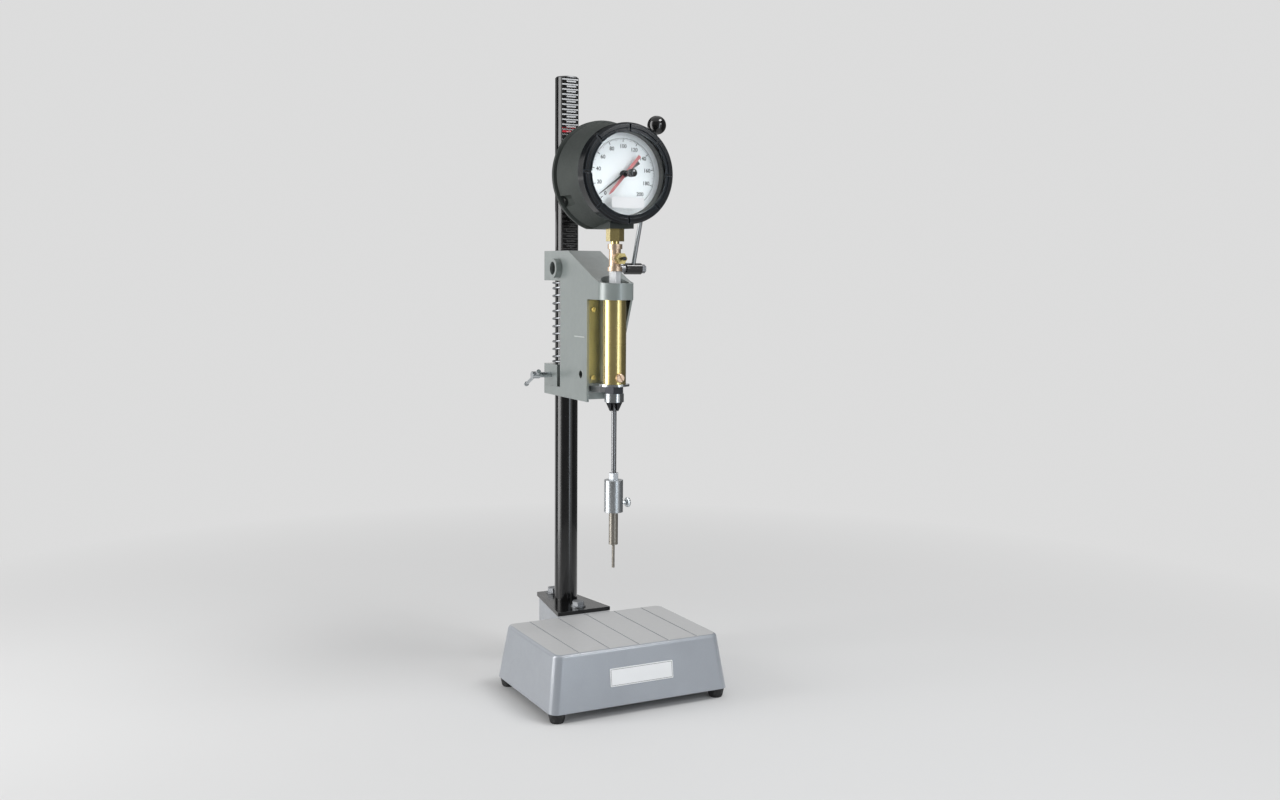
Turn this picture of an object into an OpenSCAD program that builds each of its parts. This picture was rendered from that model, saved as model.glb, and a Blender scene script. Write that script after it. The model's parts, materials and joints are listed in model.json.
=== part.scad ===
// Bench penetrometer: a rack column on a cast base carries a lever-driven head with a hydraulic
// cylinder, a load gauge above it and a needle below it. Millimetres, +Z up, front towards -Y.
// The origin lies on the standing surface, in the middle of the whole outline.

/* [Base] */
// Width of the base along its bottom edge
base_w = 300; // [260:1:360]
// Depth of the base along its bottom edge
base_d = 220; // [196:1:256]
// Distance from the base's front edge back to the needle's axis
needle_reach = 105; // [90:1:120]
// Height of the base casting without its feet
base_h = 84.5; // [64:0.5:110]
// How far each side leans in from bottom to top
base_taper = 11; // [4:0.5:18]
// Radius of the upright corners
base_corner_r = 14; // [9:0.5:24]
// Radius along the top edges
base_edge_r = 6; // [3:0.5:8]
// Wall of the hollow casting
base_wall = 7; // [5:0.5:10]
// Number of shallow grooves along the top
groove_count = 5; // [3:2:7]
// Distance between the grooves
groove_step = 50; // [20:1:56]
// Width of a groove
groove_w = 2.4; // [1:0.2:4]
// Depth of a groove
groove_depth = 0.9; // [0.4:0.1:2]
// Height of a rubber foot below the casting
foot_h = 15; // [10:0.5:25]
// Diameter of a rubber foot at its top
foot_d = 27; // [20:0.5:29]
// Distance from the bottom edges to a foot's centre
foot_inset = 15; // [14.5:0.5:22]
// Diameter of the screw through a foot
foot_screw_d = 5; // [4:0.5:7]
// Width of the label plate on the front
label_w = 106; // [60:1:140]
// Height of the label plate
label_h = 27; // [16:1:40]
// Thickness of the label plate
label_t = 0.8; // [0.5:0.1:1.5]

/* [Foot plate] */
// Width of the foot plate at its front edge
plate_front_w = 94; // [84:1:130]
// Width of the foot plate at its rear edge
plate_rear_w = 48; // [46:1:80]
// Thickness of the foot plate
plate_t = 6.5; // [4:0.5:10]
// Reach of the foot plate behind the column's axis
plate_back = 68; // [56:1:90]
// Gap between the base's top rear edge and the foot plate
plate_gap = 2; // [2:0.5:10]
// Inset of the cast boss under the foot plate
boss_inset = 3; // [1:0.5:6]
// Thickness of the boss's top, which the bolts screw into
boss_top_t = 22; // [16:1:30]
// Distance from the column's axis to the front bolt
front_bolt_reach = 50; // [44:1:56]
// Distance from the column's axis to the rear bolt
rear_bolt_reach = 52; // [40:1:54]
// Thread diameter of the foot plate bolts
plate_bolt_d = 12; // [8:1:14]

/* [Column] */
// Diameter of the column
column_d = 38.1; // [34:0.1:42]
// Height of the column's top above the table
column_top = 970; // [900:1:1100]
// Distance from the needle's axis back to the column's axis
throat = 179; // [172:1:220]
// Diameter of the column's spigot in the boss
spigot_d = 25; // [20:1:28]
// Pitch of the rack
rack_pitch = 7.98; // [6.5:0.01:9]
// Depth of the flat that the rack's tooth tips lie on
rack_flat = 1.85; // [1.4:0.05:2.4]
// Number of tooth gaps above the pinion
rack_gaps_up = 38; // [30:1:38]
// Number of tooth gaps below the pinion
rack_gaps_down = 23; // [18:1:23]

/* [Head] */
// Height of the head's bottom above the table
head_bottom = 455; // [430:1:480]
// Height of the head casting
head_h = 235; // [220:1:250]
// Width of the head casting
head_w = 57; // [54:0.5:66]
// Height of the upper arm
upper_arm_h = 48; // [46:0.5:56]
// Height of the lower arm behind the web
lower_arm_h = 15; // [12:0.5:20]
// Wall of the arms behind the guide bushes
arm_wall = 3; // [2:0.1:8]
// Clear space from the column's axis forward to the web
web_clear = 38; // [32:0.5:46]
// Distance from the needle's axis back to the front edge of the side walls
wall_front = 39; // [34:0.5:46]
// Thickness of the casting's side walls at the front
wall_t = 3.8; // [3:0.1:5]
// Width of the channel inside the web
channel_w = 45; // [38:0.5:46]
// Height of the nose's underside above the head's bottom
nose_rise = 159.5; // [150:0.5:170]
// Height of the nose
nose_h = 25.5; // [22:0.5:32]
// Diameter of the recess round the port nut
recess_d = 43; // [30:0.5:46]
// Depth of that recess under the nose's top
recess_depth = 8; // [3:0.5:9]
// Radius of the scoop between the top and the nose
scoop_r = 80; // [50:1:120]
// Slope of the top towards the nose, in degrees
scoop_angle = 24; // [20:0.5:30]
// Height of the open pocket under the cylinder
pocket_h = 25; // [20:0.5:30]
// Height of the solid floor under the channel
floor_h = 50; // [45:0.5:60]
// Outer diameter of the pinion shaft's bosses
shaft_boss_d = 31; // [26:0.5:34]
// How far the left shaft boss stands out
left_boss_out = 10.5; // [8:0.5:16]
// How far the right shaft boss stands out
right_boss_out = 16; // [8:0.5:30]
// Wall of the column guide bushes
guide_wall = 3.9; // [2.5:0.1:4]
// Diameter of the small hole in the left wall
side_hole_d = 12; // [6:0.5:14]
// Thickness of the rib under the nose's right side
rib_t = 3.5; // [2.5:0.1:4]
// Height of that rib
rib_h = 108; // [60:1:110]

/* [Clamp collar and spring] */
// Height of the clamp collar
collar_h = 35; // [28:0.5:42]
// Diameter of the clamp screw
clamp_d = 9; // [7:0.5:12]
// How far the clamp screw stands out of the collar
clamp_out = 33.5; // [24:0.5:40]
// Diameter of the clamp screw's head
clamp_head_d = 12; // [11:0.5:18]
// Diameter of the cross bar
bar_d = 5.5; // [4:0.5:7]
// Length of the cross bar on its long side
bar_long = 44; // [25:1:50]
// Length of the cross bar on its short side
bar_short = 16; // [12:1:25]
// Wire diameter of the return spring
spring_wire = 3.4; // [2.4:0.1:4]
// Least space between the column and the spring
spring_space = 0.4; // [0.4:0.1:2]
// Number of the spring's open curls
spring_curls = 10; // [7:1:12]

/* [Lever] */
// Number of teeth on the pinion
pinion_teeth = 12; // [11:1:14]
// Face width of the pinion
pinion_w = 16; // [12:0.5:20]
// Diameter of the pinion shaft
shaft_d = 12.7; // [10:0.1:14]
// Wall of the shaft bushes
bush_wall = 2.2; // [1.5:0.1:3]
// Distance from the centre plane to the lever hub's near end
hub_x = 92; // [88:0.5:110]
// Length of the lever hub
hub_l = 28.5; // [24:0.5:40]
// Diameter of the lever hub
hub_d = 19; // [17:0.5:26]
// Length of the lever from the shaft to the knob's centre
lever_l = 241; // [200:1:260]
// Lean of the lever towards the front, in degrees
lever_lean = 19.5; // [5:0.5:30]
// Diameter of the lever rod
lever_d = 7; // [6:0.1:9]
// Diameter of the ball knob
ball_d = 30; // [24:0.5:34]

/* [Cylinder] */
// Outer diameter of the barrel
barrel_d = 36; // [32:0.5:40]
// Bore of the barrel
bore_d = 24; // [20:0.5:26]
// Length of the barrel below the nose
barrel_l = 128.5; // [115:0.5:140]
// Depth of the barrel's seat in the nose
barrel_seat = 10; // [6:0.5:14]
// Thickness of the barrel's closed top
barrel_top_t = 20; // [14:0.5:26]
// Thickness of the brass block's plate
block_t = 8; // [5:0.5:9]
// Width of the brass neck between plate and barrel
neck_w = 16; // [10:0.5:24]
// Distance of the block screws from the centre plane
block_screw_x = 18; // [14:0.5:20]
// Diameter of the bottom flange
flange_d = 47; // [40:0.5:54]
// Thickness of the bottom flange
flange_t = 3.4; // [2:0.2:6]
// Height of the gland nut
gland_h = 11.5; // [8:0.5:16]
// Width of the gland nut across its flats
gland_af = 27; // [22:0.5:32]
// Diameter of the lock ring
ring_d = 30; // [24:0.5:34]
// Height of the lock ring
ring_h = 13; // [8:0.5:16]
// Upper diameter of the slotted cone
cone_d = 26.5; // [20:0.5:30]
// Lower diameter of the slotted cone
cone_tip_d = 14; // [12:0.5:18]
// Height of the slotted cone
cone_h = 14; // [10:0.5:20]
// Diameter of the piston rod
rod_d = 7.9; // [6:0.1:10]
// Height of the piston
piston_h = 22; // [16:0.5:30]
// Space under the piston when the rod hangs down
piston_space = 30; // [20:0.5:40]

/* [Needle] */
// Visible length of the rod between the cone and the jam nut
rod_show = 96.5; // [80:0.5:104]
// Width of the jam nut across its flats
jam_af = 13.5; // [11:0.5:17]
// Height of the jam nut
jam_h = 11; // [6:0.5:14]
// Diameter of the chuck
chuck_d = 29.2; // [25:0.1:34]
// Length of the chuck
chuck_l = 50; // [42:0.5:60]
// Depth of the needle's socket in the chuck
socket_depth = 27; // [20:0.5:30]
// Diameter of the needle's shank
shank_d = 14.2; // [12:0.1:16]
// Visible length of the shank
shank_l = 51; // [40:0.5:60]
// Diameter of the needle's tip
tip_d = 4.53; // [3.5:0.01:6.5]
// Length of the needle's tip
tip_l = 37; // [27:0.5:45]
// Diameter of the thumbscrew's head
thumb_d = 15; // [12:0.5:20]

/* [Fittings] */
// Width of the port nut across its flats
port_af = 16; // [14:0.5:19]
// Height of the port nut above its seat
port_h = 26; // [18:0.5:30]
// Diameter of the tee's body
tee_d = 18; // [15:0.5:22]
// Height of the tee's body
tee_h = 33.5; // [26:0.5:40]
// Diameter of the tee's top ring
tee_ring_d = 22.5; // [19:0.5:28]
// Height of the tee's top ring
tee_ring_h = 7.5; // [5:0.5:12]
// Width of the tee plug across its flats
plug_af = 16; // [13:0.5:20]
// Bore through the fittings
port_bore = 5; // [3:0.5:6]
// Width of the gauge socket across its flats
socket_af = 24; // [20:0.5:28]
// Height of the gauge socket's hexagon
socket_hex_h = 19; // [16:0.5:26]

/* [Gauge] */
// Outer diameter of the bezel ring
bezel_d = 149.5; // [140:0.5:160]
// Width of the bezel ring, front to back
bezel_w = 22; // [16:0.5:28]
// Width of the bezel ring's face round its opening
bezel_face_w = 13.25; // [12.5:0.25:20]
// Number of notches in the bezel ring
bezel_notches = 8; // [6:1:12]
// Depth of the whole gauge, front to back
gauge_depth = 93; // [85:0.5:106]
// Distance from the gauge's rear to the needle's axis
gauge_back = 45; // [38:0.5:54]
// How far the case's rear flange stands out beyond the bezel ring
flange_out = 10.25; // [5:0.25:13]
// Wall of the case round its rear chamber
case_wall = 6; // [4:0.5:8]
// Depth of the flat cut under the case's flange
flat_depth = 4.5; // [3:0.5:6]
// Width of the flat pad under the case, round the socket
pad_w = 40; // [32:1:60]
// Distance from the bezel's front to the dial
dial_depth = 24; // [20:0.5:28]
// Thickness of the dial plate
dial_t = 1; // [0.6:0.1:1.6]
// Thickness of the lens
lens_t = 3; // [2:0.2:4]
// Gap between the pointer's tip and the edge of the opening
pointer_gap = 11; // [6:0.5:16]
// Resting direction of the pointer on the dial, in degrees
pointer_angle = 217; // [200:1:235]
// Resting direction of the red maximum pointer, in degrees
max_angle = 229; // [220:1:240]
// Diameter of the reset knob
knob_d = 12; // [9:0.5:18]

/* [Hidden] */

// Roundness of true curves, and of rounded shells
$fn = 96;
shell_fn = 32;
// Radial clearance of a running fit, of a seated fit, and the gap between resting faces
run_fit = 0.06;
seat_fit = 0.03;
rest_gap = 0.1;
// Overlap that lets a cut pass cleanly through a face
past = 1;

// Places along the depth: the outline's middle is at zero
needle_y = (needle_reach - throat - plate_back) / 2;
column_y = needle_y + throat;

// The base's rear edge and its middle, behind the needle's axis
base_rear = base_d - needle_reach;
base_mid = base_d / 2 - needle_reach;

// Heights of the base and the column
base_lip = 0.5;
base_top = foot_h + base_h;
plate_top = base_top + plate_t;
column_r = column_d / 2;

// Heights of the head
head_top = head_bottom + head_h;
lower_arm_top = head_bottom + lower_arm_h;
upper_arm_bottom = head_top - upper_arm_h;
nose_bottom = head_bottom + nose_rise;
nose_top = nose_bottom + nose_h;
nose_r = head_w / 2;
arm_back = column_r + guide_wall + arm_wall;
web_rear = throat - web_clear;
head_rear = throat + arm_back;
scoop_flat = 9.5;

// Collar and spring heights
collar_bottom = lower_arm_top + rest_gap;
collar_top = collar_bottom + collar_h;
collar_half = arm_back;
clamp_z = collar_bottom + collar_h / 2;
spring_low = collar_top + rest_gap;
spring_high = upper_arm_bottom - rest_gap;

// Rack and pinion: stub rack teeth keep the small pinion free of undercut
module_size = rack_pitch / PI;
pitch_r = pinion_teeth * module_size / 2;
pressure_angle = 20;
rack_addendum = 0.67 * module_size;
tooth_clear = 0.4;
backlash = 0.3;
rack_tip = column_r - rack_flat;
rack_line = rack_tip - rack_addendum;
pinion_y = throat - rack_line - pitch_r;
pinion_tip_r = pitch_r + module_size;
pinion_z = upper_arm_bottom + pinion_tip_r + 2.2;
slot_half = pinion_w / 2 + 1.5;
slot_reach = pinion_tip_r + 1.7;
bush_d = shaft_d + 2 * bush_wall;
left_boss_x = -nose_r - left_boss_out;
right_boss_x = nose_r + right_boss_out;
boss_hole_d = 21;
boss_hole_depth = 12;
shaft_end = 4;
hub_screw_h = 8;
hub_screw_af = 12.7;

// Cylinder heights
barrel_bottom = nose_bottom - barrel_l;
flange_bottom = barrel_bottom - flange_t;
gland_bottom = flange_bottom - gland_h;
ring_bottom = gland_bottom - ring_h;
cone_bottom = ring_bottom - cone_h;
bore_top = nose_bottom + barrel_seat - barrel_top_t;
piston_bottom = barrel_bottom + piston_space;
block_bottom = head_bottom + pocket_h + 4;
block_top = nose_bottom - 1;
block_rear = wall_front + block_t;
web_t = 10;
block_screw_low = block_bottom + 9;
block_screw_high = block_top - 15;
block_screw_d = 4;
block_screw_grip = web_t - 4;
pocket_bolt_d = 10;
pocket_washer_d = 30;
pocket_depth = block_t + web_t + pocket_washer_d / 2 + 3;
side_hole_y = wall_front + 22.5;
side_hole_z = clamp_z + 9;
pocket_bolt_grip = floor_h - pocket_h - 8;
rod_hole_d = rod_d + 2 * run_fit;

// Needle heights
jam_top = cone_bottom - rod_show;
chuck_top = jam_top - jam_h;
chuck_bottom = chuck_top - chuck_l;
shank_bottom = chuck_bottom - shank_l;
tip_bottom = shank_bottom - tip_l;
rod_thread = chuck_l - socket_depth - 6;
thumb_z = chuck_bottom + 13;

// Fitting heights
port_seat = nose_top - recess_depth;
tee_bottom = port_seat + port_h;
tee_ring_bottom = tee_bottom + tee_h;
tee_top = tee_ring_bottom + tee_ring_h;
hex_bottom = tee_top + 4;
hex_top = hex_bottom + socket_hex_h;
bezel_r = bezel_d / 2;
flange_r = bezel_r + flange_out;
case_flat = flange_r - flat_depth;
gauge_z = hex_top + rest_gap + case_flat;
stem_d = 13;
stem_depth = 14;
tee_branch_rise = 19;
tee_branch_z = tee_bottom + tee_branch_rise;
tee_branch_l = 15;
tee_foot_h = 6.5;

// Gauge depths, measured from its rear towards its front
bezel_rear = gauge_depth - bezel_w;
bezel_face_t = 5;
lens_front = gauge_depth - bezel_face_t;
lens_rear = lens_front - lens_t;
gasket_t = 1.5;
rim_front = lens_rear - gasket_t;
dial_front = gauge_depth - dial_depth;
dial_rear = dial_front - dial_t;
wall_rear = dial_rear - 11;
window_r = bezel_r - bezel_face_w;
window_d = 2 * window_r;
pointer_l = window_r - pointer_gap;
lens_lap = 4;
lens_r = window_r + lens_lap;
case_r_rear = flange_r - 3.5;
case_r_front = bezel_r - 1.75;
thread_r = bezel_r - 5;
chamber_r = case_r_front - case_wall;
back_t = 5;
tube_inset = 21;
tube_r = chamber_r - tube_inset;
tube_rear = 16;
tube_w = 15;
tube_t = 6;
tube_start = -75;
tube_sweep = 265;
spindle_d = 4;
arbor_d = 3;
arbor_tail = 20;
works_depth = 18;

// Frames: at the needle's axis, at the column's axis, on the pinion shaft, and at the gauge's rear centre
module at_needle() { translate([0, needle_y, 0]) children(); }
module at_column() { translate([0, column_y, 0]) children(); }
module at_shaft() { translate([0, needle_y + pinion_y, pinion_z]) children(); }
module at_gauge() { translate([0, needle_y + gauge_back, gauge_z]) rotate([90, 0, 0]) children(); }

// Shapes that repeat
module along_x(length, d) { rotate([0, 90, 0]) cylinder(h = length, d = d); }
module along_front(length, d) { rotate([90, 0, 0]) cylinder(h = length, d = d); }
module hexagon(across_flats, h) { cylinder(h = h, d = across_flats / cos(30), $fn = 6); }
module pipe(h, outer, inner) {
    difference() {
        cylinder(h = h, d = outer);
        translate([0, 0, -past]) cylinder(h = h + 2 * past, d = inner);
    }
}
// A side outline in depth and height, as wide as given and centred on the middle plane
module side_slab(width) { rotate([90, 0, 90]) linear_extrude(height = width, center = true) children(); }

// Base
function foot_places() = [for (sx = [-1, 1], sy = [-1, 1])
    [sx * (base_w / 2 - foot_inset), base_mid + sy * (base_d / 2 - foot_inset)]];

module base_corners(inset, r) {
    for (sx = [-1, 1], sy = [-1, 1])
        translate([sx * (base_w / 2 - inset - r), base_mid + sy * (base_d / 2 - inset - r), 0]) children();
}

module base_outer() {
    hull() {
        translate([0, 0, foot_h])
            base_corners(0, base_corner_r) cylinder(r = base_corner_r, h = base_lip, $fn = shell_fn);
        translate([0, 0, base_top - base_edge_r])
            base_corners(base_taper, base_corner_r)
                rotate_extrude($fn = shell_fn)
                    translate([base_corner_r - base_edge_r, 0]) circle(r = base_edge_r, $fn = shell_fn);
    }
}

module base_cavity() {
    inside_w = base_w - 2 * base_wall;
    inside_d = base_d - 2 * base_wall;
    inside_front = base_wall - needle_reach;
    hull() {
        translate([-inside_w / 2, inside_front, foot_h - past]) cube([inside_w, inside_d, past]);
        translate([-inside_w / 2 + base_taper, inside_front + base_taper, base_top - base_wall - past])
            cube([inside_w - 2 * base_taper, inside_d - 2 * base_taper, past]);
    }
}

// The foot plate's outline, drawn in by an inset
plate_front = base_rear - base_taper + plate_gap;
plate_rear = throat + plate_back;
module plate_outline(inset) {
    front = plate_front_w / 2 - inset;
    rear = plate_rear_w / 2 - inset;
    polygon([[-front, plate_front + inset], [front, plate_front + inset],
        [rear, plate_rear - inset], [-rear, plate_rear - inset]]);
}

module rear_boss() {
    front = plate_front_w / 2 - boss_inset;
    rear = plate_rear_w / 2 - boss_inset;
    root = base_rear - base_taper - base_wall / 2;
    translate([0, 0, foot_h])
        linear_extrude(height = base_h)
            polygon([[-front, root], [front, root],
                [rear, plate_rear - boss_inset], [-rear, plate_rear - boss_inset]]);
}

module rear_boss_cavity() {
    wall = boss_inset + base_wall;
    front = plate_front_w / 2 - wall;
    rear = plate_rear_w / 2 - wall;
    root = base_rear + base_wall;
    translate([0, 0, foot_h - past])
        linear_extrude(height = base_h - boss_top_t + past)
            polygon([[-front, root], [front, root], [rear, plate_rear - wall], [-rear, plate_rear - wall]]);
}

module base_casting() {
    color([0.62, 0.65, 0.66]) at_needle() difference() {
        union() {
            difference() {
                union() {
                    base_outer();
                    rear_boss();
                }
                base_cavity();
            }
            intersection() {
                base_outer();
                for (p = foot_places())
                    translate([p[0], p[1], foot_h]) cylinder(h = base_h / 2, d = foot_d - 5);
            }
        }
        rear_boss_cavity();
        for (i = [0 : groove_count - 1]) {
            x = (i - (groove_count - 1) / 2) * groove_step - groove_w / 2;
            translate([x, -needle_reach, base_top - groove_depth])
                cube([groove_w, needle_reach + plate_front - past, groove_depth + past]);
        }
        for (p = foot_places())
            translate([p[0], p[1], foot_h - past]) cylinder(h = base_h / 3, d = foot_screw_d);
        translate([0, throat, base_top - boss_top_t - past])
            cylinder(h = boss_top_t + 2 * past, d = spigot_d + 2 * seat_fit);
        for (y = [throat - front_bolt_reach, throat + rear_bolt_reach])
            translate([0, y, base_top - boss_top_t + 2])
                cylinder(h = boss_top_t, d = plate_bolt_d + 2 * seat_fit);
    }
}

module rubber_feet() {
    recess_d = 2 * foot_screw_d + 4;
    color([0.06, 0.06, 0.06]) at_needle()
        for (p = foot_places()) translate([p[0], p[1], 0])
            rotate_extrude()
                polygon([[recess_d / 2, 0], [foot_d / 2 - 4, 0], [foot_d / 2 - 2.8, 2], [foot_d / 2, foot_h],
                    [foot_screw_d / 2 + seat_fit, foot_h], [foot_screw_d / 2 + seat_fit, foot_h / 2],
                    [recess_d / 2, foot_h / 2]]);
}

module foot_screws() {
    head_h = foot_h / 4;
    color("silver") at_needle()
        for (p = foot_places()) translate([p[0], p[1], foot_h / 2 - head_h]) {
            cylinder(h = head_h, d = 2 * foot_screw_d);
            cylinder(h = head_h + foot_h / 2 + base_h / 3 - past - seat_fit, d = foot_screw_d - 2 * seat_fit);
        }
}

// The front face runs from the bottom edge up to the rounded top edge
module label_plate() {
    run = base_taper + base_edge_r;
    climb = base_h - base_edge_r - base_lip;
    lean = atan(run / climb) - asin(base_edge_r / norm([run, climb]));
    height = base_h / 2;
    color("white") at_needle()
        translate([0, -needle_reach + (height - base_lip) * tan(lean), foot_h + height])
            rotate([-lean, 0, 0])
                translate([-label_w / 2, -label_t, -label_h / 2]) cube([label_w, label_t, label_h]);
}

// Foot plate and column
module foot_plate() {
    color([0.08, 0.08, 0.08]) at_needle() difference() {
        translate([0, 0, base_top]) linear_extrude(height = plate_t) plate_outline(0);
        translate([0, throat, base_top - past]) cylinder(h = plate_t + 2 * past, d = spigot_d + 2 * seat_fit);
        for (y = [throat - front_bolt_reach, throat + rear_bolt_reach])
            translate([0, y, base_top - past])
                cylinder(h = plate_t + 2 * past, d = plate_bolt_d + 2 * seat_fit);
    }
}

washer_t = 2;
module plate_bolt_places() {
    at_column() for (y = [-front_bolt_reach, rear_bolt_reach]) translate([0, y, plate_top]) children();
}

module foot_plate_bolts() {
    thread = plate_t + boss_top_t - 4;
    color("silver") plate_bolt_places() {
        translate([0, 0, washer_t]) hexagon(1.5 * plate_bolt_d, 0.6 * plate_bolt_d);
        translate([0, 0, -thread]) cylinder(h = thread + washer_t, d = plate_bolt_d);
    }
}

module foot_plate_washers() {
    color("gainsboro") plate_bolt_places() pipe(washer_t, 2 * plate_bolt_d, plate_bolt_d + 2 * seat_fit);
}

// Half height of a rack gap at a distance above the pitch line
function gap_half(above) = rack_pitch / 4 + backlash / 2 + above * tan(pressure_angle);

module rack_cut() {
    root = rack_line - module_size - tooth_clear;
    side_slab(column_d + 2 * past) {
        for (k = [-rack_gaps_down : rack_gaps_up])
            translate([-rack_line, pinion_z + k * rack_pitch])
                polygon([[-rack_addendum - past, -gap_half(rack_addendum + past)],
                    [-rack_addendum - past, gap_half(rack_addendum + past)],
                    [rack_line - root, gap_half(root - rack_line)],
                    [rack_line - root, -gap_half(root - rack_line)]]);
        translate([-column_r - past, pinion_z - (rack_gaps_down + 0.5) * rack_pitch])
            square([rack_flat + past, (rack_gaps_down + rack_gaps_up + 1) * rack_pitch + column_top]);
    }
}

module column() {
    chamfer = 2;
    screw_d = plate_bolt_d + 2 * seat_fit;
    color([0.05, 0.05, 0.05]) at_column() difference() {
        union() {
            translate([0, 0, plate_top]) cylinder(h = column_top - plate_top - chamfer, d = column_d);
            translate([0, 0, column_top - chamfer])
                cylinder(h = chamfer, d1 = column_d, d2 = column_d - 2 * chamfer);
            translate([0, 0, base_top - boss_top_t]) cylinder(h = plate_t + boss_top_t, d = spigot_d);
        }
        rack_cut();
        translate([0, 0, base_top - boss_top_t - past])
            cylinder(h = plate_t + boss_top_t + past, d = screw_d);
    }
}

module column_screw() {
    under = base_top - boss_top_t - washer_t;
    color("dimgray") at_column() {
        translate([0, 0, under]) cylinder(h = washer_t, d = spigot_d + 8);
        translate([0, 0, under - 0.6 * plate_bolt_d]) hexagon(1.5 * plate_bolt_d, 0.6 * plate_bolt_d);
        translate([0, 0, under]) cylinder(h = washer_t + boss_top_t, d = plate_bolt_d);
    }
}

// Clamp collar, clamp screw and spring
module clamp_collar() {
    color([0.66, 0.68, 0.68]) at_column() difference() {
        translate([-nose_r, -collar_half, collar_bottom]) cube([head_w, 2 * collar_half, collar_h]);
        translate([0, 0, collar_bottom - past]) cylinder(h = collar_h + 2 * past, d = column_d + 2 * run_fit);
        translate([-nose_r - past, 0, clamp_z]) along_x(nose_r + past, clamp_d + 2 * run_fit);
    }
}

module clamp_screw() {
    tip = column_r + 0.4;
    head_l = clamp_head_d + 1;
    color("silver") at_column() translate([-nose_r - clamp_out, 0, clamp_z]) difference() {
        union() {
            along_x(head_l, clamp_head_d);
            along_x(nose_r + clamp_out - tip, clamp_d);
        }
        translate([head_l / 2, 0, 0]) rotate([-25, 0, 0]) translate([0, clamp_head_d, 0])
            along_front(2 * clamp_head_d, bar_d + 2 * seat_fit);
    }
}

module clamp_bar() {
    end_l = 4;
    bar = bar_long + bar_short;
    color("silver") at_column()
        translate([-nose_r - clamp_out + (clamp_head_d + 1) / 2, 0, clamp_z]) rotate([-25, 0, 0])
            translate([0, bar_long, 0]) {
                along_front(bar, bar_d);
                for (y = [0, -bar + end_l]) translate([0, y, 0]) along_front(end_l, bar_d + 2);
            }
}

// The spring's wire follows a helix whose first and last curls lie nearly flat on their seats.
// Its rings stand out so that the straight stretches between them still clear the column.
spring_rings = 8;
spring_sides = 6;
spring_r = (column_r + spring_space) / cos(180 / spring_rings) + spring_wire / 2;
spring_turns = spring_curls + 2;
flat_rise = spring_wire + 0.9;
spring_half = spring_wire / 2 * cos(180 / spring_sides);
spring_open = spring_high - spring_low - 2 * spring_half - 2 * flat_rise;
function spring_rise(turn) = turn < 1 ? turn * flat_rise :
    turn > spring_turns - 1 ? flat_rise + spring_open + (turn - spring_turns + 1) * flat_rise :
    flat_rise + (turn - 1) * spring_open / spring_curls;
spring_count = spring_turns * spring_rings;
spring_path = [for (i = [0 : spring_count]) let (turn = i / spring_rings)
    [spring_r * cos(360 * turn), spring_r * sin(360 * turn), spring_low + spring_half + spring_rise(turn)]];
spring_points = [for (i = [0 : spring_count], j = [0 : spring_sides - 1])
    let (a = 360 * i / spring_rings, b = 360 * j / spring_sides, reach = spring_wire / 2 * cos(b))
    spring_path[i] + [reach * cos(a), reach * sin(a), spring_wire / 2 * sin(b)]];
function ring_point(i, j) = i * spring_sides + j % spring_sides;
spring_faces = concat(
    [for (i = [0 : spring_count - 1], j = [0 : spring_sides - 1])
        [ring_point(i, j), ring_point(i + 1, j), ring_point(i + 1, j + 1)]],
    [for (i = [0 : spring_count - 1], j = [0 : spring_sides - 1])
        [ring_point(i, j), ring_point(i + 1, j + 1), ring_point(i, j + 1)]],
    [for (j = [1 : spring_sides - 2]) [ring_point(0, 0), ring_point(0, j), ring_point(0, j + 1)]],
    [for (j = [1 : spring_sides - 2])
        [ring_point(spring_count, 0), ring_point(spring_count, j + 1), ring_point(spring_count, j)]]);
spring_gap = min([for (i = [0 : spring_count], k = [spring_rings / 2 : 2 * spring_rings])
    if (i + k <= spring_count) norm(spring_path[i] - spring_path[i + k])]) - spring_wire;
echo(spring_least_gap = spring_gap);

module return_spring() {
    color("silver") at_column() polyhedron(points = spring_points, faces = spring_faces, convexity = 10);
}

// Head
// The top falls from the flat over the arm along a slope and a scoop to the nose
scoop_y = -nose_r + scoop_flat;
scoop_end = [scoop_y + scoop_r * sin(scoop_angle), nose_top + scoop_r * (1 - cos(scoop_angle))];
slope_top = scoop_end[0] + (head_top - scoop_end[1]) / tan(scoop_angle);
scoop_steps = 8;
scoop_line = [for (i = [0 : scoop_steps]) let (a = scoop_angle * (1 - i / scoop_steps))
    [scoop_y + scoop_r * sin(a), nose_top + scoop_r * (1 - cos(a))]];

module head_outline() {
    arms = [[head_rear, head_bottom], [head_rear, lower_arm_top], [web_rear, lower_arm_top],
        [web_rear, upper_arm_bottom], [head_rear, upper_arm_bottom], [head_rear, head_top]];
    nose = [[-nose_r, nose_top], [-nose_r, nose_bottom],
        [wall_front, nose_bottom], [wall_front, head_bottom]];
    polygon(concat(arms, [[slope_top, head_top]], scoop_line, nose));
}

module head_plan() {
    circle(d = head_w);
    translate([-nose_r, 0]) square([head_w, head_rear]);
}

module head_body() {
    intersection() {
        side_slab(head_w) head_outline();
        translate([0, 0, head_bottom]) linear_extrude(height = head_h) head_plan();
    }
    translate([left_boss_x, pinion_y, pinion_z]) along_x(right_boss_x - left_boss_x, shaft_boss_d);
    translate([nose_r - rib_t / 2, 0, 0]) side_slab(rib_t)
        polygon([[wall_front, nose_bottom], [-nose_r / 6, nose_bottom], [wall_front, nose_bottom - rib_h]]);
}

// Slot that the pinion turns in, open below
module pinion_slot() {
    depth = throat - pinion_y + slot_reach;
    rise = pinion_z + slot_reach - upper_arm_bottom + past;
    translate([-slot_half, pinion_y - slot_reach, upper_arm_bottom - past])
        cube([2 * slot_half, depth, rise]);
}

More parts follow.
